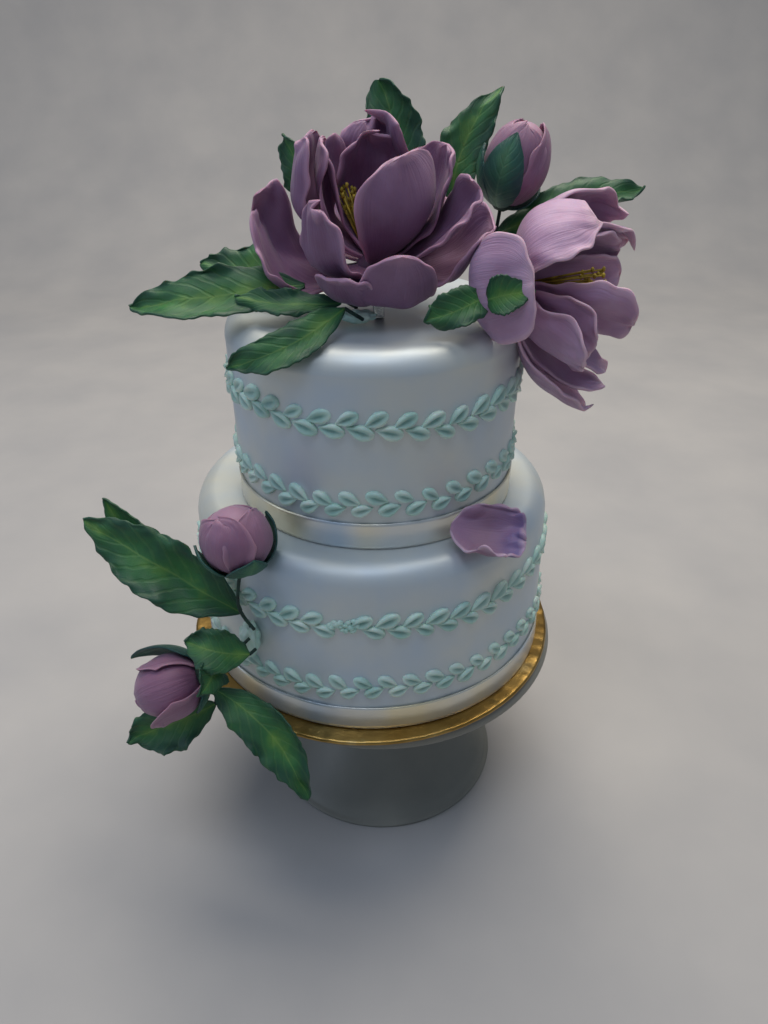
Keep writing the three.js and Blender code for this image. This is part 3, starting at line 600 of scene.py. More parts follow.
def add_crumbs(bm, border):
    """A stretch of the ring that broke and dried as crumbs."""
    tier = TIERS[border["tier"]]
    for k in range(BREAK["crumbs"]):
        stray = [noise.noise(Vector((k * 1.9, 3.1 * axis, 7.7))) for axis in range(4)]
        angle = BREAK["angle"] + BREAK["width"] * (2 * (k + 0.5) / BREAK["crumbs"] - 1)
        z = border["height"] + BREAK["scatter"] * stray[0]
        place = wall_place(tier, angle, z, 1, stray[1] * BREAK["turn"])
        place = place @ Matrix.Diagonal((*BREAK["squash"], 1))
        size = BREAK["size"] * (1 + BREAK["uneven"] * stray[2]) * MM
        bmesh.ops.create_icosphere(bm, subdivisions=1, radius=size, matrix=place)


def make_border(name, border, index):
    tier = TIERS[border["tier"]]
    heads, broken = border["heads"], border.get("broken", False)
    size_word = "small_" if border["small"] else ""
    length, half, groove = (DROP[size_word + key] for key in ("length", "half", "groove"))
    bm = bmesh.new()
    for i in range(border["pairs"]):
        for row in (1, -1):
            angle = (i + (0 if row > 0 else HAND["behind"])) / border["pairs"] * 2 * math.pi
            if broken and abs(angle - BREAK["angle"]) < BREAK["width"]:
                continue
            wobble = [noise.noise(Vector((i * 3.7, row * 5.1 + index * 11, k * 2.3))) for k in range(4)]
            rise = border["wave"] * math.sin(2 * angle + border["phase"])
            rise += HAND["ripple"] * math.sin(HAND["ripples"] * angle)
            z = border["height"] + rise + row * DROP["spread"] + HAND["rise"] * wobble[0]
            lean = DROP["up"] if row > 0 else DROP["down"]
            tilt = math.radians(lean + HAND["tilt"] * wobble[1]) * heads
            size = 1 + HAND["size"] * wobble[2]
            height = DROP["height"] * (1 + HAND["height"] * wobble[3])
            place = wall_place(tier, angle, z, heads, tilt)
            add_drop(bm, place, length * size, half * size, height, groove)
    if broken:
        add_crumbs(bm, border)
    return finish_piece(name, bm, MINT)


for number, border in enumerate(BORDERS):
    make_border(f"piped_border_{border['tier']}_{number}", border, number)


# %% [markdown]
# Petals and leaves
#
# Every petal and leaf is one blade: a grid laid out by where it starts, where it heads, how it cups,
# bows and curls, how its rim is frilled and which corner folds in. The numbers are those of the
# solids. Sculpting by hand would be freer, but the same formula keeps the petal where its solid is.
# Lengths are in millimetres and angles in degrees.

# %% Blade shape
BLADE = dict(width=40, cup=0, fold=0, belly=0, curl=0, swing=0, twist=0, ruffle=0, waves=3, phase=0,
             slim=0.6, blunt=4, tip=0.5, foot=0.1, lump=0.0, frill=0.0, hem=0.0, tooth=0.0, rib=0.0,
             seed=0, flap=0.0, corner=1)
LEAF_OUTLINE = dict(slim=0.75, blunt=1.3, tip=0.85, foot=0.08)
LUMP_WIDTH, LUMP_LENGTH = 14, 26
TEETH = 13
CURL_START = 0.6
CORNER_START, CORNER_PULL = 0.45, 0.6
RIB_HALF = 0.06
PETAL_START = 4
PASTE = dict(petal=1.6, bud_petal=0.9, sepal=1.1, leaf=1.2)


def direction(heading, lift):
    h, e = math.radians(heading), math.radians(lift)
    return Vector((math.cos(e) * math.cos(h), math.cos(e) * math.sin(h), math.sin(e)))


def smooth_step(x):
    x = max(0, min(1, x))
    return x * x * (3 - 2 * x)


def width_share(blade, v):
    """The blade's width at v, as a share of its greatest width."""
    slim, blunt, tip = blade["slim"], blade["blunt"], blade["tip"]
    peak = (slim / (slim + blunt * tip)) ** (1 / blunt)
    most = peak**slim * (1 - peak**blunt) ** tip
    outline = v**slim * max(0, 1 - v**blunt) ** tip / most
    return max(outline, blade["foot"] * (1 - v))


def blade_point(b, u, v):
    """A point of the blade: u runs across it from -1 to 1, and v along it from 0 to 1."""
    share = width_share(b, v)
    half, cup = b["width"] / 2, math.radians(max(b["cup"], 1))
    spot = Vector((u * share * half / LUMP_WIDTH, v * b["length"] / LUMP_LENGTH, b["seed"]))

    # Across, the blade is an arc, cut back by its teeth and turned by its twist.
    torn = b["tooth"] * abs(u) ** 6 * ((v * TEETH + b["seed"]) % 1 + 0.8 * noise.noise(spot * 5))
    turned = cup * u * share * (1 - torn / half)
    side = half / cup * math.sin(turned)
    rise = half / cup * (math.cos(turned) - 1) - half * share * abs(u) * b["fold"]
    twist = math.radians(b["twist"]) * v
    side, rise = (side * math.cos(twist) - rise * math.sin(twist),
                  side * math.sin(twist) + rise * math.cos(twist))

    # Along, it bows, its end curls and its sides wave.
    bow = 4 * v * (1 - v)
    wave = math.sin(math.pi * b["waves"] * v + b["phase"] + (0 if u > 0 else 1.7))
    rise += b["belly"] * bow + b["curl"] * smooth_step((v - CURL_START) / (1 - CURL_START))
    rise += b["ruffle"] * v * abs(u) ** 1.5 * wave

    # The paste is lumpy, and its rim is frilled and turned up.
    near_rim = max(abs(u) ** 2.5, v**5) * min(1, 3 * v)
    rise += b["lump"] * min(1, 3 * v) * noise.noise(spot) + b["frill"] * near_rim * noise.noise(spot * 3)
    rise += b["hem"] * near_rim**3
    side_frill = noise.noise(spot * 3.6 + Vector((9, 0, 0)))
    end_frill = noise.noise(spot * 3.3 + Vector((0, 0, 31)))

    # One corner may fold in, and the midrib is a fine groove.
    folded = smooth_step((v - CORNER_START) / 0.45) * smooth_step((b["corner"] * u - 0.1) / 0.7)
    rise -= b["flap"] * folded
    side -= b["corner"] * CORNER_PULL * b["flap"] * folded
    rise -= b["rib"] * math.exp(-((u / RIB_HALF) ** 2)) * (1 - v)

    along = b["length"] * v + b["frill"] * 0.5 * near_rim * end_frill
    across = side + b["frill"] * 0.5 * near_rim * side_frill + b["swing"] * bow
    return b["base"] + b["along"] * along + b["across"] * across + b["back"] * rise


def add_sheet(bm, point_at, columns, rows, ease=1.4):
    """A grid whose points are point_at(u, v) in millimetres; its UV map holds u and v."""
    uv_layer = bm.loops.layers.uv.get("blade") or bm.loops.layers.uv.new("blade")
    made = bmesh.ops.create_grid(bm, x_segments=columns, y_segments=rows, size=1)["verts"]
    spans = {vert: (vert.co.x, 1 - (1 - (vert.co.y + 1) / 2) ** ease) for vert in made}
    faces = {face for vert in made for face in vert.link_faces}
    for face in faces:
        for loop in face.loops:
            u, v = spans[loop.vert]
            loop[uv_layer].uv = ((u + 1) / 2, v)
    for vert, (u, v) in spans.items():
        vert.co = point_at(u, v) * MM
    return made


def add_blade(bm, blade, columns, rows):
    add_sheet(bm, lambda u, v: blade_point(blade, u, v), columns, rows)


def upright_axes(axis):
    """Across and away from the viewer, square to an axis."""
    away = (Vector((0, 1, 0)) - axis * axis.y).normalized()
    return away, away.cross(axis)


def petal_blade(flower, petal, seed=0):
    axis = direction(*flower["axis"])
    away, over = upright_axes(axis)
    around, opened = math.radians(petal["around"]), math.radians(petal["open"])
    radial = over * math.cos(around) + away * math.sin(around)
    along = axis * math.cos(opened) + radial * math.sin(opened)
    back = radial * math.cos(opened) - axis * math.sin(opened)
    back.rotate(Matrix.Rotation(math.radians(petal.get("roll", 0)), 3, along))
    base = Vector(flower["heart"]) + along * PETAL_START
    return {**BLADE, "seed": seed, **petal, "base": base, "along": along, "back": back,
            "across": along.cross(back)}


def leaf_blade(leaf, seed=0):
    along = direction(leaf["heading"], leaf["lift"])
    face = direction(*leaf["faces"])
    back = -(face - along * face.dot(along)).normalized()
    back.rotate(Matrix.Rotation(math.radians(leaf.get("roll", 0)), 3, along))
    return {**BLADE, **LEAF_OUTLINE, "seed": seed, **leaf, "base": Vector(leaf["base"]),
            "along": along, "back": back, "across": along.cross(back)}


def make_sheet_piece(name, bm, material, thickness_mm):
    """A sheet of paste: Solidify gives it thickness, and Subdivision Surface rounds it."""
    bmesh.ops.remove_doubles(bm, verts=bm.verts, dist=0.01 * MM)
    piece = finish_piece(name, bm, material)
    solidify = piece.modifiers.new("paste", "SOLIDIFY")
    solidify.thickness = thickness_mm * MM
    solidify.offset = 0
    rounded = piece.modifiers.new("rounded", "SUBSURF")
    rounded.levels = rounded.render_levels = 1
    return piece


# %% [markdown]
# The open flowers
#
# Each petal is placed by how far round the flower's axis it stands and how far it leans away. Small
# balls of paste, in the same painted shade as the petals' feet, are the hubs that the petals are stuck to.

# %% Open flowers
PETAL_STEPS = (18, 20)
PETAL_EDGES = dict(lump=4.0, frill=4.5, hem=0.9)
# The hubs' UV spot lies in the painted shade at the petals' feet.
HUB_SHADE = (0.5, 0.02)
MAUVE_FLOWER = dict(heart=(3, -18, 350), axis=(-90, 80), tuft=(165, 72), hubs=[(9, 0), (6, 9)], petals=[
    dict(around=-52, open=20, length=57, width=62, cup=52, belly=14, curl=-2, swing=2, twist=-5, roll=6,
         tip=0.65, lump=1.8, frill=1.6),
    dict(around=-75, open=69, length=45, width=41, cup=35, belly=17, curl=-7, swing=2, roll=-6, tip=0.65,
         lump=2.0, frill=2.2),
    dict(around=-133, open=50, length=51, width=35, cup=40, belly=16, curl=-4, swing=1, blunt=2.5, tip=0.4,
         flap=5, corner=-1),
    dict(around=168, open=68, length=60, width=51, cup=60, belly=23, curl=-5, swing=4, twist=10, blunt=2.5,
         lump=6.5, frill=6.5, flap=10, corner=-1),
    dict(around=-14, open=53, length=60, width=40, cup=44, belly=6, curl=-2, twist=-4, roll=8, tip=0.6,
         flap=6),
    dict(around=-10, open=70, length=58, width=46, cup=56, belly=12, curl=-4, twist=-5, roll=4, lump=7),
    dict(around=156, open=22, length=58, width=27, cup=57, belly=14, swing=2, twist=7, roll=12),
    dict(around=140, open=22, length=58, width=19, cup=58, belly=7, roll=12, frill=4),
    dict(around=158, open=32, length=63, width=39, cup=56, belly=16, curl=-3, twist=13, roll=27, slim=0.73,
         tip=0.3, frill=6, lump=6),
    dict(around=25, open=34, length=60, width=42, cup=54, belly=12, curl=2, tip=0.4),
    dict(around=84, open=28, length=64, width=46, cup=61, belly=8, curl=-2, ruffle=2, lump=8, frill=8,
         flap=9, corner=-1),
    dict(around=96, open=22, length=55, width=42, cup=55, belly=8, ruffle=2, lump=7, frill=8, flap=8),
    dict(around=45, open=44, length=60, width=40, cup=50, belly=10, ruffle=1),
    dict(around=-112, open=76, length=42, width=34, cup=45, belly=12, curl=-3),
    dict(around=62, open=66, length=54, width=48, cup=50, belly=10),
    dict(around=115, open=66, length=54, width=48, cup=50, belly=10),
])
# The right flower, whose lighter colour is painted light.
RIGHT_FLOWER = dict(heart=(68, -28, 342), axis=(-10, -5), tuft=(-12, 6), hubs=[(7, 0)], petals=[
    dict(around=-107, open=80, length=37, width=55, cup=46, belly=22, curl=-5, roll=17, blunt=5, tip=0.65,
         lump=2.5, frill=2),
    dict(around=-166, open=51, length=47, width=57, cup=46, belly=16, swing=-2, roll=9, blunt=2.5, tip=0.55,
         lump=2.5, frill=4, flap=5),
    dict(around=-45, open=39, length=52, width=38, cup=46, belly=6, curl=2, twist=-11, roll=-5, blunt=5,
         slim=0.5),
    dict(around=-39, open=27, length=48, width=42, cup=46, belly=2, curl=3, twist=-4),
    dict(around=-3, open=52, length=71, width=38, cup=51, belly=11, curl=-2, twist=-5, roll=4, blunt=3,
         lump=4, flap=5, corner=-1),
    dict(around=-31, open=10, length=60, width=49, cup=43, belly=2, curl=3, swing=2, roll=-10, blunt=5),
    dict(around=148, open=46, length=62, width=37, cup=38, belly=18, swing=2, twist=6, tip=0.4, frill=4.5,
         flap=7, corner=-1),
    dict(around=134, open=33, length=63, width=42, cup=42, belly=11, swing=4, twist=8, frill=5, flap=6),
    dict(around=142, open=27, length=54, width=34, cup=40, belly=9, roll=5, ruffle=1, frill=5),
    dict(around=9, open=32, length=63, width=20, cup=62, belly=7, swing=-3, twist=-8, roll=8),
    dict(around=1, open=41, length=67, width=23, cup=47, belly=11, curl=-3, swing=-2, twist=-5, lump=4),
    dict(around=104, open=20, length=56, width=34, cup=45, belly=5),
    dict(around=70, open=46, length=54, width=46, cup=50, belly=8),
    dict(around=104, open=60, length=48, width=46, cup=45, belly=8),
])


def make_flower(name, flower, material, nodes, seed):
    bm = bmesh.new()
    for number, petal in enumerate(flower["petals"]):
        blade = petal_blade(flower, {**PETAL_EDGES, **petal}, seed + number * 3.3)
        add_blade(bm, blade, *PETAL_STEPS)
    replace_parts(make_sheet_piece(name, bm, material, PASTE["petal"]), *nodes)
    hub = bmesh.new()
    uv_layer = hub.loops.layers.uv.new("blade")
    for radius, rise in flower["hubs"]:
        middle = Vector(flower["heart"]) + direction(*flower["axis"]) * rise
        bmesh.ops.create_icosphere(hub, subdivisions=3, radius=radius * MM,
                                   matrix=Matrix.Translation(middle * MM))
    for face in hub.faces:
        for loop in face.loops:
            loop[uv_layer].uv = HUB_SHADE
    finish_piece(f"{name}_hub", hub, material)


MAUVE_NODES = ("flower_mauve_outer", "flower_mauve_inner")
make_flower("open_flower_mauve", MAUVE_FLOWER, MAUVE, MAUVE_NODES, 1)
make_flower("open_flower_right_painted_light", RIGHT_FLOWER, PAINTED_LIT_MAUVE, ("flower_lilac",), 77)


# %% [markdown]
# Stamens
#
# In the mouth of each flower stands a tuft of thin paste threads with dusted yellow tips. Each
# thread is a slim cone with a small ball on its end, spread evenly by the golden angle.

# %% Stamens
STAMENS = dict(threads=26, foot=2.0, head=6.2, thick=0.5, taper=0.8, ball=1.0, start=9, stray=1.6,
               reach=0.84, uneven=0.3)
GOLDEN_ANGLE = 2.39996


def between(start, end):
    """Where a shape made along z goes to lie between two points in millimetres."""
    span = end - start
    turned = span.to_track_quat("Z", "Y").to_matrix().to_4x4()
    return Matrix.Translation((start + span / 2) * MM) @ turned


def make_stamens(name, flower, height, node):
    axis = direction(*flower["tuft"])
    away, over = upright_axes(axis)
    heart = Vector(flower["heart"]) + axis * STAMENS["start"]
    bm = bmesh.new()
    for k in range(STAMENS["threads"]):
        share = math.sqrt((k + 0.5) / STAMENS["threads"])
        angle = k * GOLDEN_ANGLE
        radial = over * math.cos(angle) + away * math.sin(angle)
        foot = heart + radial * STAMENS["foot"] * share
        tall = STAMENS["reach"] + STAMENS["uneven"] * noise.noise(Vector((k * 1.7, 0.3, 0.9)))
        wander = [noise.noise(Vector((k * 2.3, 5.1, 3.7 * i))) for i in range(3)]
        stray = Vector(wander) * STAMENS["stray"]
        tip = heart + radial * STAMENS["head"] * share + axis * (height * tall) + stray
        bmesh.ops.create_cone(bm, cap_ends=True, segments=6, radius1=STAMENS["thick"] * MM,
                              radius2=STAMENS["thick"] * STAMENS["taper"] * MM,
                              depth=(tip - foot).length * MM, matrix=between(foot, tip))
        bmesh.ops.create_icosphere(bm, subdivisions=1, radius=STAMENS["ball"] * MM,
                                   matrix=Matrix.Translation(tip * MM) @ Matrix.Diagonal((1, 1, 1.5, 1)))
    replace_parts(finish_piece(name, bm, STAMEN), node)


make_stamens("stamen_tuft_mauve", MAUVE_FLOWER, 30, "stamens_mauve")
make_stamens("stamen_tuft_right", RIGHT_FLOWER, 36, "stamens_lilac")


# %% [markdown]
# Buds
#
# A bud is a ball of paste with a few closed petals wrapped round it, in a green calyx whose sepals
# hug it. Petals and sepals are sheets laid over the same egg: how far round it, and how far up it.

# %% Buds, their sepals and their wires
WIRE = 0.9
BUDS = dict(
    top=dict(
        pole=(68, 9, 374), axis=(0, 72), length=40, radius=15.5, wire=[(65, 6, 358), (58, 0, 350)],
        wraps=[dict(around=110, spread=100, top=2.75, lean=20),
               dict(around=-140, spread=80, top=2.6, lean=25),
               dict(around=-20, spread=75, top=2.8, lean=20)],
        sepals=[dict(around=-118, length=34, width=24), dict(around=-175, length=27, width=18),
                dict(around=20, length=20, width=18), dict(around=110, length=26, width=20)]),
    upper_left=dict(
        pole=(-66, -94, 222), axis=(100, 72), length=34, radius=17,
        wire=[(-69, -94, 200), (-63, -92, 183)],
        wraps=[dict(around=90, spread=95, top=2.5, lean=10),
               dict(around=-30, spread=80, top=2.55, lean=15),
               dict(around=-140, spread=75, top=2.35, lean=25)],
        sepals=[dict(around=-55, length=20, width=26), dict(around=-165, length=26, width=20),
                dict(around=35, length=36, width=18), dict(around=120, length=26, width=20)]),
    lower_left=dict(
        pole=(-92, -98, 158), axis=(-172, -18), length=37, radius=17,
        wire=[(-78, -98, 168), (-66, -92, 177)],
        wraps=[dict(around=-60, spread=100, top=2.95, lean=0),
               dict(around=65, spread=80, top=2.3, lean=-10, flare=2.5),
               dict(around=-165, spread=78, top=2.15, lean=12, flare=4)],
        sepals=[dict(around=55, length=38, width=30, flare=9), dict(around=-150, length=20, width=18),
                dict(around=135, length=28, width=22)]),
)
WRAP = dict(start=0.12, stack=0.45, sunk=0.6, rim_around=0.16, rim_along=0.2, rim_lift=0.8,
            rim_waves=1.2, lumps=0.9, folds=0.35)
SEPAL_SHAPE = dict(start=0.25, lift=2.0, spring=1.0, slim=0.85, blunt=1.2, tip=1, foot=0.1,
                   waves=1.1, groove=0.5, torn=0.12, teeth=9)
CUP = dict(foot=2.6, head=7.5, height=4, sunk=1.0)


def egg_point(bud, around, turned, lift):
    """A point over the bud: around its axis, and how far the curve has turned from the pole."""
    axis = direction(*bud["axis"])
    away, over = upright_axes(axis)
    reach = (bud["radius"] + lift) * math.sin(turned)
    height = bud["length"] / 2 - (bud["length"] / 2 + lift) * math.cos(turned)
    radial = over * math.cos(around) + away * math.sin(around)
    return Vector(bud["pole"]) + axis * height + radial * reach


def wrap_point(bud, wrap, order, u, v):
    """A point of a petal wrapped round the bud; each next petal lies a little further out."""
    turned = WRAP["start"] + (wrap["top"] - WRAP["start"]) * v
    narrow = (1 - v**7) ** 0.5
    spot = Vector((u * 2.1, v * 2.8, order * 5.3 + bud["radius"]))
    near_rim = max(abs(u) ** 5, v**8)
    around = math.radians(wrap["around"] + wrap["lean"] * v + wrap["spread"] * u * narrow)
    around += WRAP["rim_around"] * near_rim * noise.noise(spot * 2.7)
    turned += WRAP["rim_along"] * near_rim * noise.noise(spot * 2.1 + Vector((4, 0, 0)))
    flared = WRAP["rim_lift"] + wrap.get("flare", 0) * v + WRAP["rim_waves"] * noise.noise(spot * 2)
    lift = WRAP["stack"] * order - WRAP["sunk"] + near_rim * flared
    lift += WRAP["lumps"] * noise.noise(spot)
    lift += WRAP["folds"] * noise.noise(Vector((u * 9, v * 1.5, order)))
    return egg_point(bud, around, turned, lift)


def sepal_point(bud, sepal, seed, u, v):
    """A point of a sepal that hugs the bud and springs away a little toward its tip."""
    shape = SEPAL_SHAPE
    turned = shape["start"] + (sepal["length"] / bud["radius"] - shape["start"]) * v
    spot = Vector((u * 1.5, v * 2.5, seed))
    lift = shape["lift"] + shape["spring"] * smooth_step(2 * v) + sepal.get("flare", 0) * v**3
    lift += shape["waves"] * abs(u) * v * noise.noise(spot * 2)
    lift -= shape["groove"] * math.exp(-((u / 0.08) ** 2))
    reach = (bud["radius"] + lift) * math.sin(turned)
    torn = 1 - shape["torn"] * abs(u) ** 5 * ((v * shape["teeth"] + seed) % 1)
    half = sepal["width"] / 2 * width_share(shape, v) * torn
    return egg_point(bud, math.radians(sepal["around"]) + half * u / reach, turned, lift)


def route_point(points, t):
    """A smooth route through the points, t from 0 to 1."""
    last = len(points) - 1
    k = min(int(t * last), last - 1)
    f = t * last - k
    before, start, end, after = (points[max(0, min(last, k + step))] for step in (-1, 0, 1, 2))
    return 0.5 * (2 * start + (end - before) * f + (2 * before - 5 * start + 4 * end - after) * f**2
                  + (3 * start - before - 3 * end + after) * f**3)


def add_wire(bm, points, radius, rows=14):
    """A round wire along a smooth route, with its ends filled."""
    points = [Vector(p) for p in points]

    def skin(u, v):
        t = min(0.98, max(0.0, v))
        forward = (route_point(points, t + 0.02) - route_point(points, t)).normalized()
        side = forward.cross(Vector((0.2, 0.9, 0.35))).normalized()
        angle = math.pi * u
        out = side * math.cos(angle) + forward.cross(side) * math.sin(angle)
        return route_point(points, v) + out * radius

    add_sheet(bm, skin, 8, rows, ease=1)
    bmesh.ops.remove_doubles(bm, verts=bm.verts, dist=0.01 * MM)
    ends = [edge for edge in bm.edges if edge.is_boundary]
    bmesh.ops.holes_fill(bm, edges=ends, sides=0)


def make_bud(name, bud, seed):
    axis = direction(*bud["axis"])
    pole = Vector(bud["pole"])
    upright = axis.to_track_quat("Z", "Y").to_matrix().to_4x4()

    core = bmesh.new()
    middle = Matrix.Translation((pole + axis * bud["length"] / 2) * MM) @ upright
    size = Matrix.Diagonal((bud["radius"] - 1, bud["radius"] - 1, bud["length"] / 2 - 1, 1))
    bmesh.ops.create_uvsphere(core, u_segments=40, v_segments=28, radius=MM, matrix=middle @ size)
    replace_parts(finish_piece(f"bud_core_{name}", core, MAUVE), f"bud_{name}")

    petals = bmesh.new()
    for order, wrap in enumerate(bud["wraps"]):
        add_sheet(petals, lambda u, v: wrap_point(bud, wrap, order, u, v), 26, 24, ease=1.2)
    make_sheet_piece(f"bud_petals_{name}", petals, BUD, PASTE["bud_petal"])

    sepals = bmesh.new()
    for order, sepal in enumerate(bud["sepals"]):
        own_seed = seed + order * 2.9
        add_sheet(sepals, lambda u, v: sepal_point(bud, sepal, own_seed, u, v), 12, 18, ease=1.2)
    calyx = make_sheet_piece(f"sepals_{name}", sepals, SEPAL, PASTE["sepal"])
    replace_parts(calyx, f"calyx_{name}")

    stem = bmesh.new()
    add_wire(stem, [pole, *bud["wire"]], WIRE)
    cup_place = Matrix.Translation((pole - axis * CUP["sunk"]) * MM) @ upright
    bmesh.ops.create_cone(stem, cap_ends=True, segments=24, radius1=CUP["foot"] * MM,
                          radius2=CUP["head"] * MM, depth=CUP["height"] * MM, matrix=cup_place)
    finish_piece(f"taped_wire_{name}", stem, TAPE)


for number, (name, bud) in enumerate(BUDS.items()):
    make_bud(name, bud, 3.0 + number * 8.1)


# %% [markdown]
# Leaves
#
# A leaf has a pointed outline, a shallow fold along its midrib, a wavy rim and small torn teeth. Some
# show a piece of their taped wire.

# %% Leaves
TOP_LEAVES = dict(
    back_left=dict(base=(-22, 14, 361), heading=165, lift=65, faces=(-110, 5), length=50, width=21,
                   swing=-3, twist=6),
    back_middle=dict(base=(18, 37, 365), heading=162, lift=80, faces=(-90, 5), length=65, width=29,
                     swing=-4, twist=7, tip=0.6),
    back_right=dict(base=(46, 30, 363), heading=20, lift=68, faces=(-95, 10), length=66, width=26, swing=7,
                    roll=-15),
    far_right=dict(base=(65, 11, 357), heading=3, lift=16, faces=(-80, 60), length=79, width=28),
    left_high=dict(base=(-29, 4, 337), heading=176, lift=8, faces=(-90, 50), length=59, width=30, twist=-4,
                   stalk=(-6, -32, 334)),
    left_long=dict(base=(-31, -24, 343), heading=-177, lift=-5, faces=(-90, 45), length=87, width=30,
                   swing=3),
    left_low=dict(base=(-13, -38, 338), heading=174, lift=2, faces=(-90, 40), length=52, width=16, swing=5,
                  roll=9),
    front_left=dict(base=(-11, -53, 340), heading=-166, lift=-22, faces=(-90, 45), length=62, width=22,
                    belly=-8, swing=8, twist=-5, stalk=(-3, -44, 332)),
    front_right=dict(base=(55, -50, 344), heading=-152, lift=-10, faces=(-90, 40), length=35, width=19,
                     swing=3),
    front_small=dict(base=(54, -58, 344), heading=-32, lift=21, faces=(-90, 25), length=21, width=19,
                     belly=-7, curl=3, frill=0.8),
)
SIDE_LEAVES = dict(
    upper_long=dict(base=(-70, -85, 189), heading=164, lift=28, faces=(-90, 30), length=95, width=37,
                    tip=0.95, stalk=(-65, -88, 179)),
    upper_back=dict(base=(-93, -81, 197), heading=150, lift=38, faces=(-90, 30), length=71, width=22,
                    swing=4, belly=3, lump=1, frill=2),
    middle=dict(base=(-65, -101, 174), heading=178, lift=16, faces=(-90, 40), length=34, width=24, swing=2,
                stalk=(-63, -95, 172)),
    bud_sepal=dict(base=(-87, -101, 171), heading=-92, lift=-14, faces=(-50, 10), length=21, width=21),
    lower_left=dict(base=(-90, -90, 128), heading=-169, lift=-19, faces=(-90, 30), length=54, width=30,
                    stalk=(-84, -95, 158)),
    lower_right=dict(base=(-86, -102, 151), heading=-36, lift=-38, faces=(-90, 20), length=76, width=27,
                     swing=9, roll=-8, slim=0.65, stalk=(-81, -98, 163)),
)
LEAF_SHAPE = dict(belly=-4, cup=12, fold=0.2, ruffle=1.5, lump=4.5, frill=5, tooth=1.6, rib=0.5)


def make_leaf(name, leaf, node, seed):
    bm = bmesh.new()
    add_blade(bm, leaf_blade({**LEAF_SHAPE, **leaf}, seed), 18, 42)
    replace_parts(make_sheet_piece(name, bm, LEAF, PASTE["leaf"]), node)
    if "stalk" in leaf:
        stem = bmesh.new()
        add_wire(stem, [leaf["base"], leaf["stalk"]], WIRE, rows=8)
        finish_piece(f"{name}_stalk", stem, TAPE)


for group, leaves in (("top", TOP_LEAVES), ("side", SIDE_LEAVES)):
    for number, (name, leaf) in enumerate(leaves.items()):
        make_leaf(f"sugar_leaf_{group}_{name}", leaf, f"leaf_{group}_{name}", number * 4.7)


# %% [markdown]
# Small pieces
#
# A petal has dropped against the foot of the upper tier. Smears of piping icing hold the sprays, and
# a clear plastic pick, pushed into the cake, holds the top flower.

# %% Loose petal, smears of icing and the pick
LOOSE_PETAL = dict(base=(39, -80, 237), heading=-14, lift=-2, faces=(-80, 54), length=37, width=44, belly=6,
                   cup=88, slim=0.6, blunt=3, tip=0.5, ruffle=1.5, lump=5, frill=9, hem=1.2)
SMEARS = dict(top=dict(place=(-5, -39, 332), size=(18, 10, 7)),
              side=dict(place=(-67, -86, 172), size=(12, 12, 26)))
PICK = dict(foot=(5, -30, 328.5), head=(4, -26, 346), radius=3, draft=0.9, rounding=0.3)


def make_smear(name, smear):
    bm = bmesh.new()
    made = bmesh.ops.create_icosphere(bm, subdivisions=4, radius=1)["verts"]
    for vert in made:
        swell = 0.9 + 0.22 * noise.noise(vert.co * 2.2) + 0.1 * noise.noise(vert.co * 6)
        vert.co = Vector([c * s / 2 for c, s in zip(vert.co * swell, smear["size"])])
        vert.co = (vert.co + Vector(smear["place"])) * MM
    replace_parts(finish_piece(f"icing_smear_{name}", bm, MINT), f"icing_blob_{name}")


def make_pick():
    foot, head = Vector(PICK["foot"]), Vector(PICK["head"])
    bm = bmesh.new()
    bmesh.ops.create_cone(bm, cap_ends=True, segments=32, radius1=PICK["radius"] * PICK["draft"] * MM,
                          radius2=PICK["radius"] * MM, depth=(head - foot).length * MM,
                          matrix=between(foot, head))
    caps = [edge for edge in bm.edges if any(len(face.verts) > 4 for face in edge.link_faces)]
    bmesh.ops.bevel(bm, geom=caps, affect="EDGES", offset=PICK["rounding"] * MM, segments=2,
                    profile=0.5, material=-1)
    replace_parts(finish_piece("plastic_pick", bm, CLEAR), "flower_pick")


loose = bmesh.new()
add_blade(loose, leaf_blade(LOOSE_PETAL, 5), 22, 22)
fallen = make_sheet_piece("fallen_petal", loose, FALLEN, PASTE["petal"])
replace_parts(fallen, "loose_petal")
for name, smear in SMEARS.items():
    make_smear(name, smear)
make_pick()


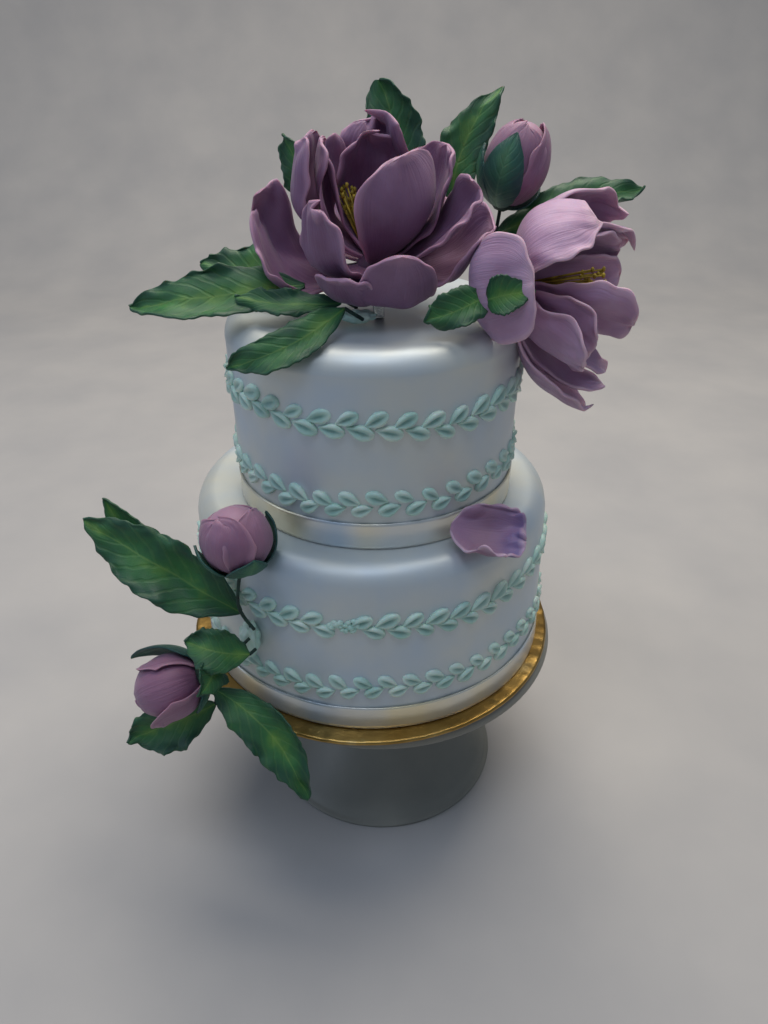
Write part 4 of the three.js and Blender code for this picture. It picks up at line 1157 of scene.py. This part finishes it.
# %% [markdown]
# Light and floor
#
# The photograph's light is a large soft source above and a little behind the cake, with cool dim
# surroundings, so that the tops and the paper behind are light and the sides are bluish.
# The cake stands on a sheet of grey paper that sweeps up behind it, so no horizon shows.

# %% Stage and lights
SWEEP = dict(front=-1.6, bend=1.1, radius=0.7, top=2.4, half_width=3.0)


def make_stage():
    s = SWEEP
    turn_up = [(s["bend"] + s["radius"] * math.sin(a), s["radius"] * (1 - math.cos(a)))
               for a in (math.pi / 2 * i / 16 for i in range(17))]
    profile = [(s["front"], 0.0)] + turn_up + [(s["bend"] + s["radius"], s["top"])]
    bm = bmesh.new()
    _, edges = trace(bm, [(-s["half_width"], y, z) for y, z in profile])
    made = bmesh.ops.extrude_edge_only(bm, edges=edges)["geom"]
    far = [item for item in made if isinstance(item, bmesh.types.BMVert)]
    bmesh.ops.translate(bm, verts=far, vec=(2 * s["half_width"], 0, 0))
    paper = plain_finish("paper_backdrop_grey", 120, "#A9A7A6", "#B4B1AE", detail=4, Roughness=0.9)
    floor = finish_mesh("paper_sweep", bm, paper)


def add_area(name, place, aim, size, power, color):
    data = bpy.data.lights.new(name, "AREA")
    data.shape = "RECTANGLE"
    data.size, data.size_y = size
    data.energy = power
    data.color = linear(color)[:3]
    lamp = add_object(name, data)
    lamp.location = place
    lamp.rotation_euler = (Vector(aim) - Vector(place)).to_track_quat("-Z", "Y").to_euler()


make_stage()
add_area("skylight", (0.15, 0.55, 1.8), (0, 0.1, 0.25), (1.5, 1.0), 30, "#FFF6E8")
add_area("front_ceiling", (-0.15, -0.6, 1.8), (0, 0, 0.25), (0.8, 0.5), 6, "#E4EEFF")
add_area("left_window", (-1.6, -0.3, 0.9), (0, 0, 0.25), (0.9, 1.2), 4, "#CFE0FF")
world = bpy.data.worlds.new("soft_room")
world.use_nodes = True
room = world.node_tree.nodes["Background"].inputs
room["Color"].default_value = linear("#A9B8CC")
room["Strength"].default_value = 0.42
bpy.context.scene.world = world
print("lights:", len(bpy.data.lights))
bpy.context.scene.view_settings.view_transform = "Standard"
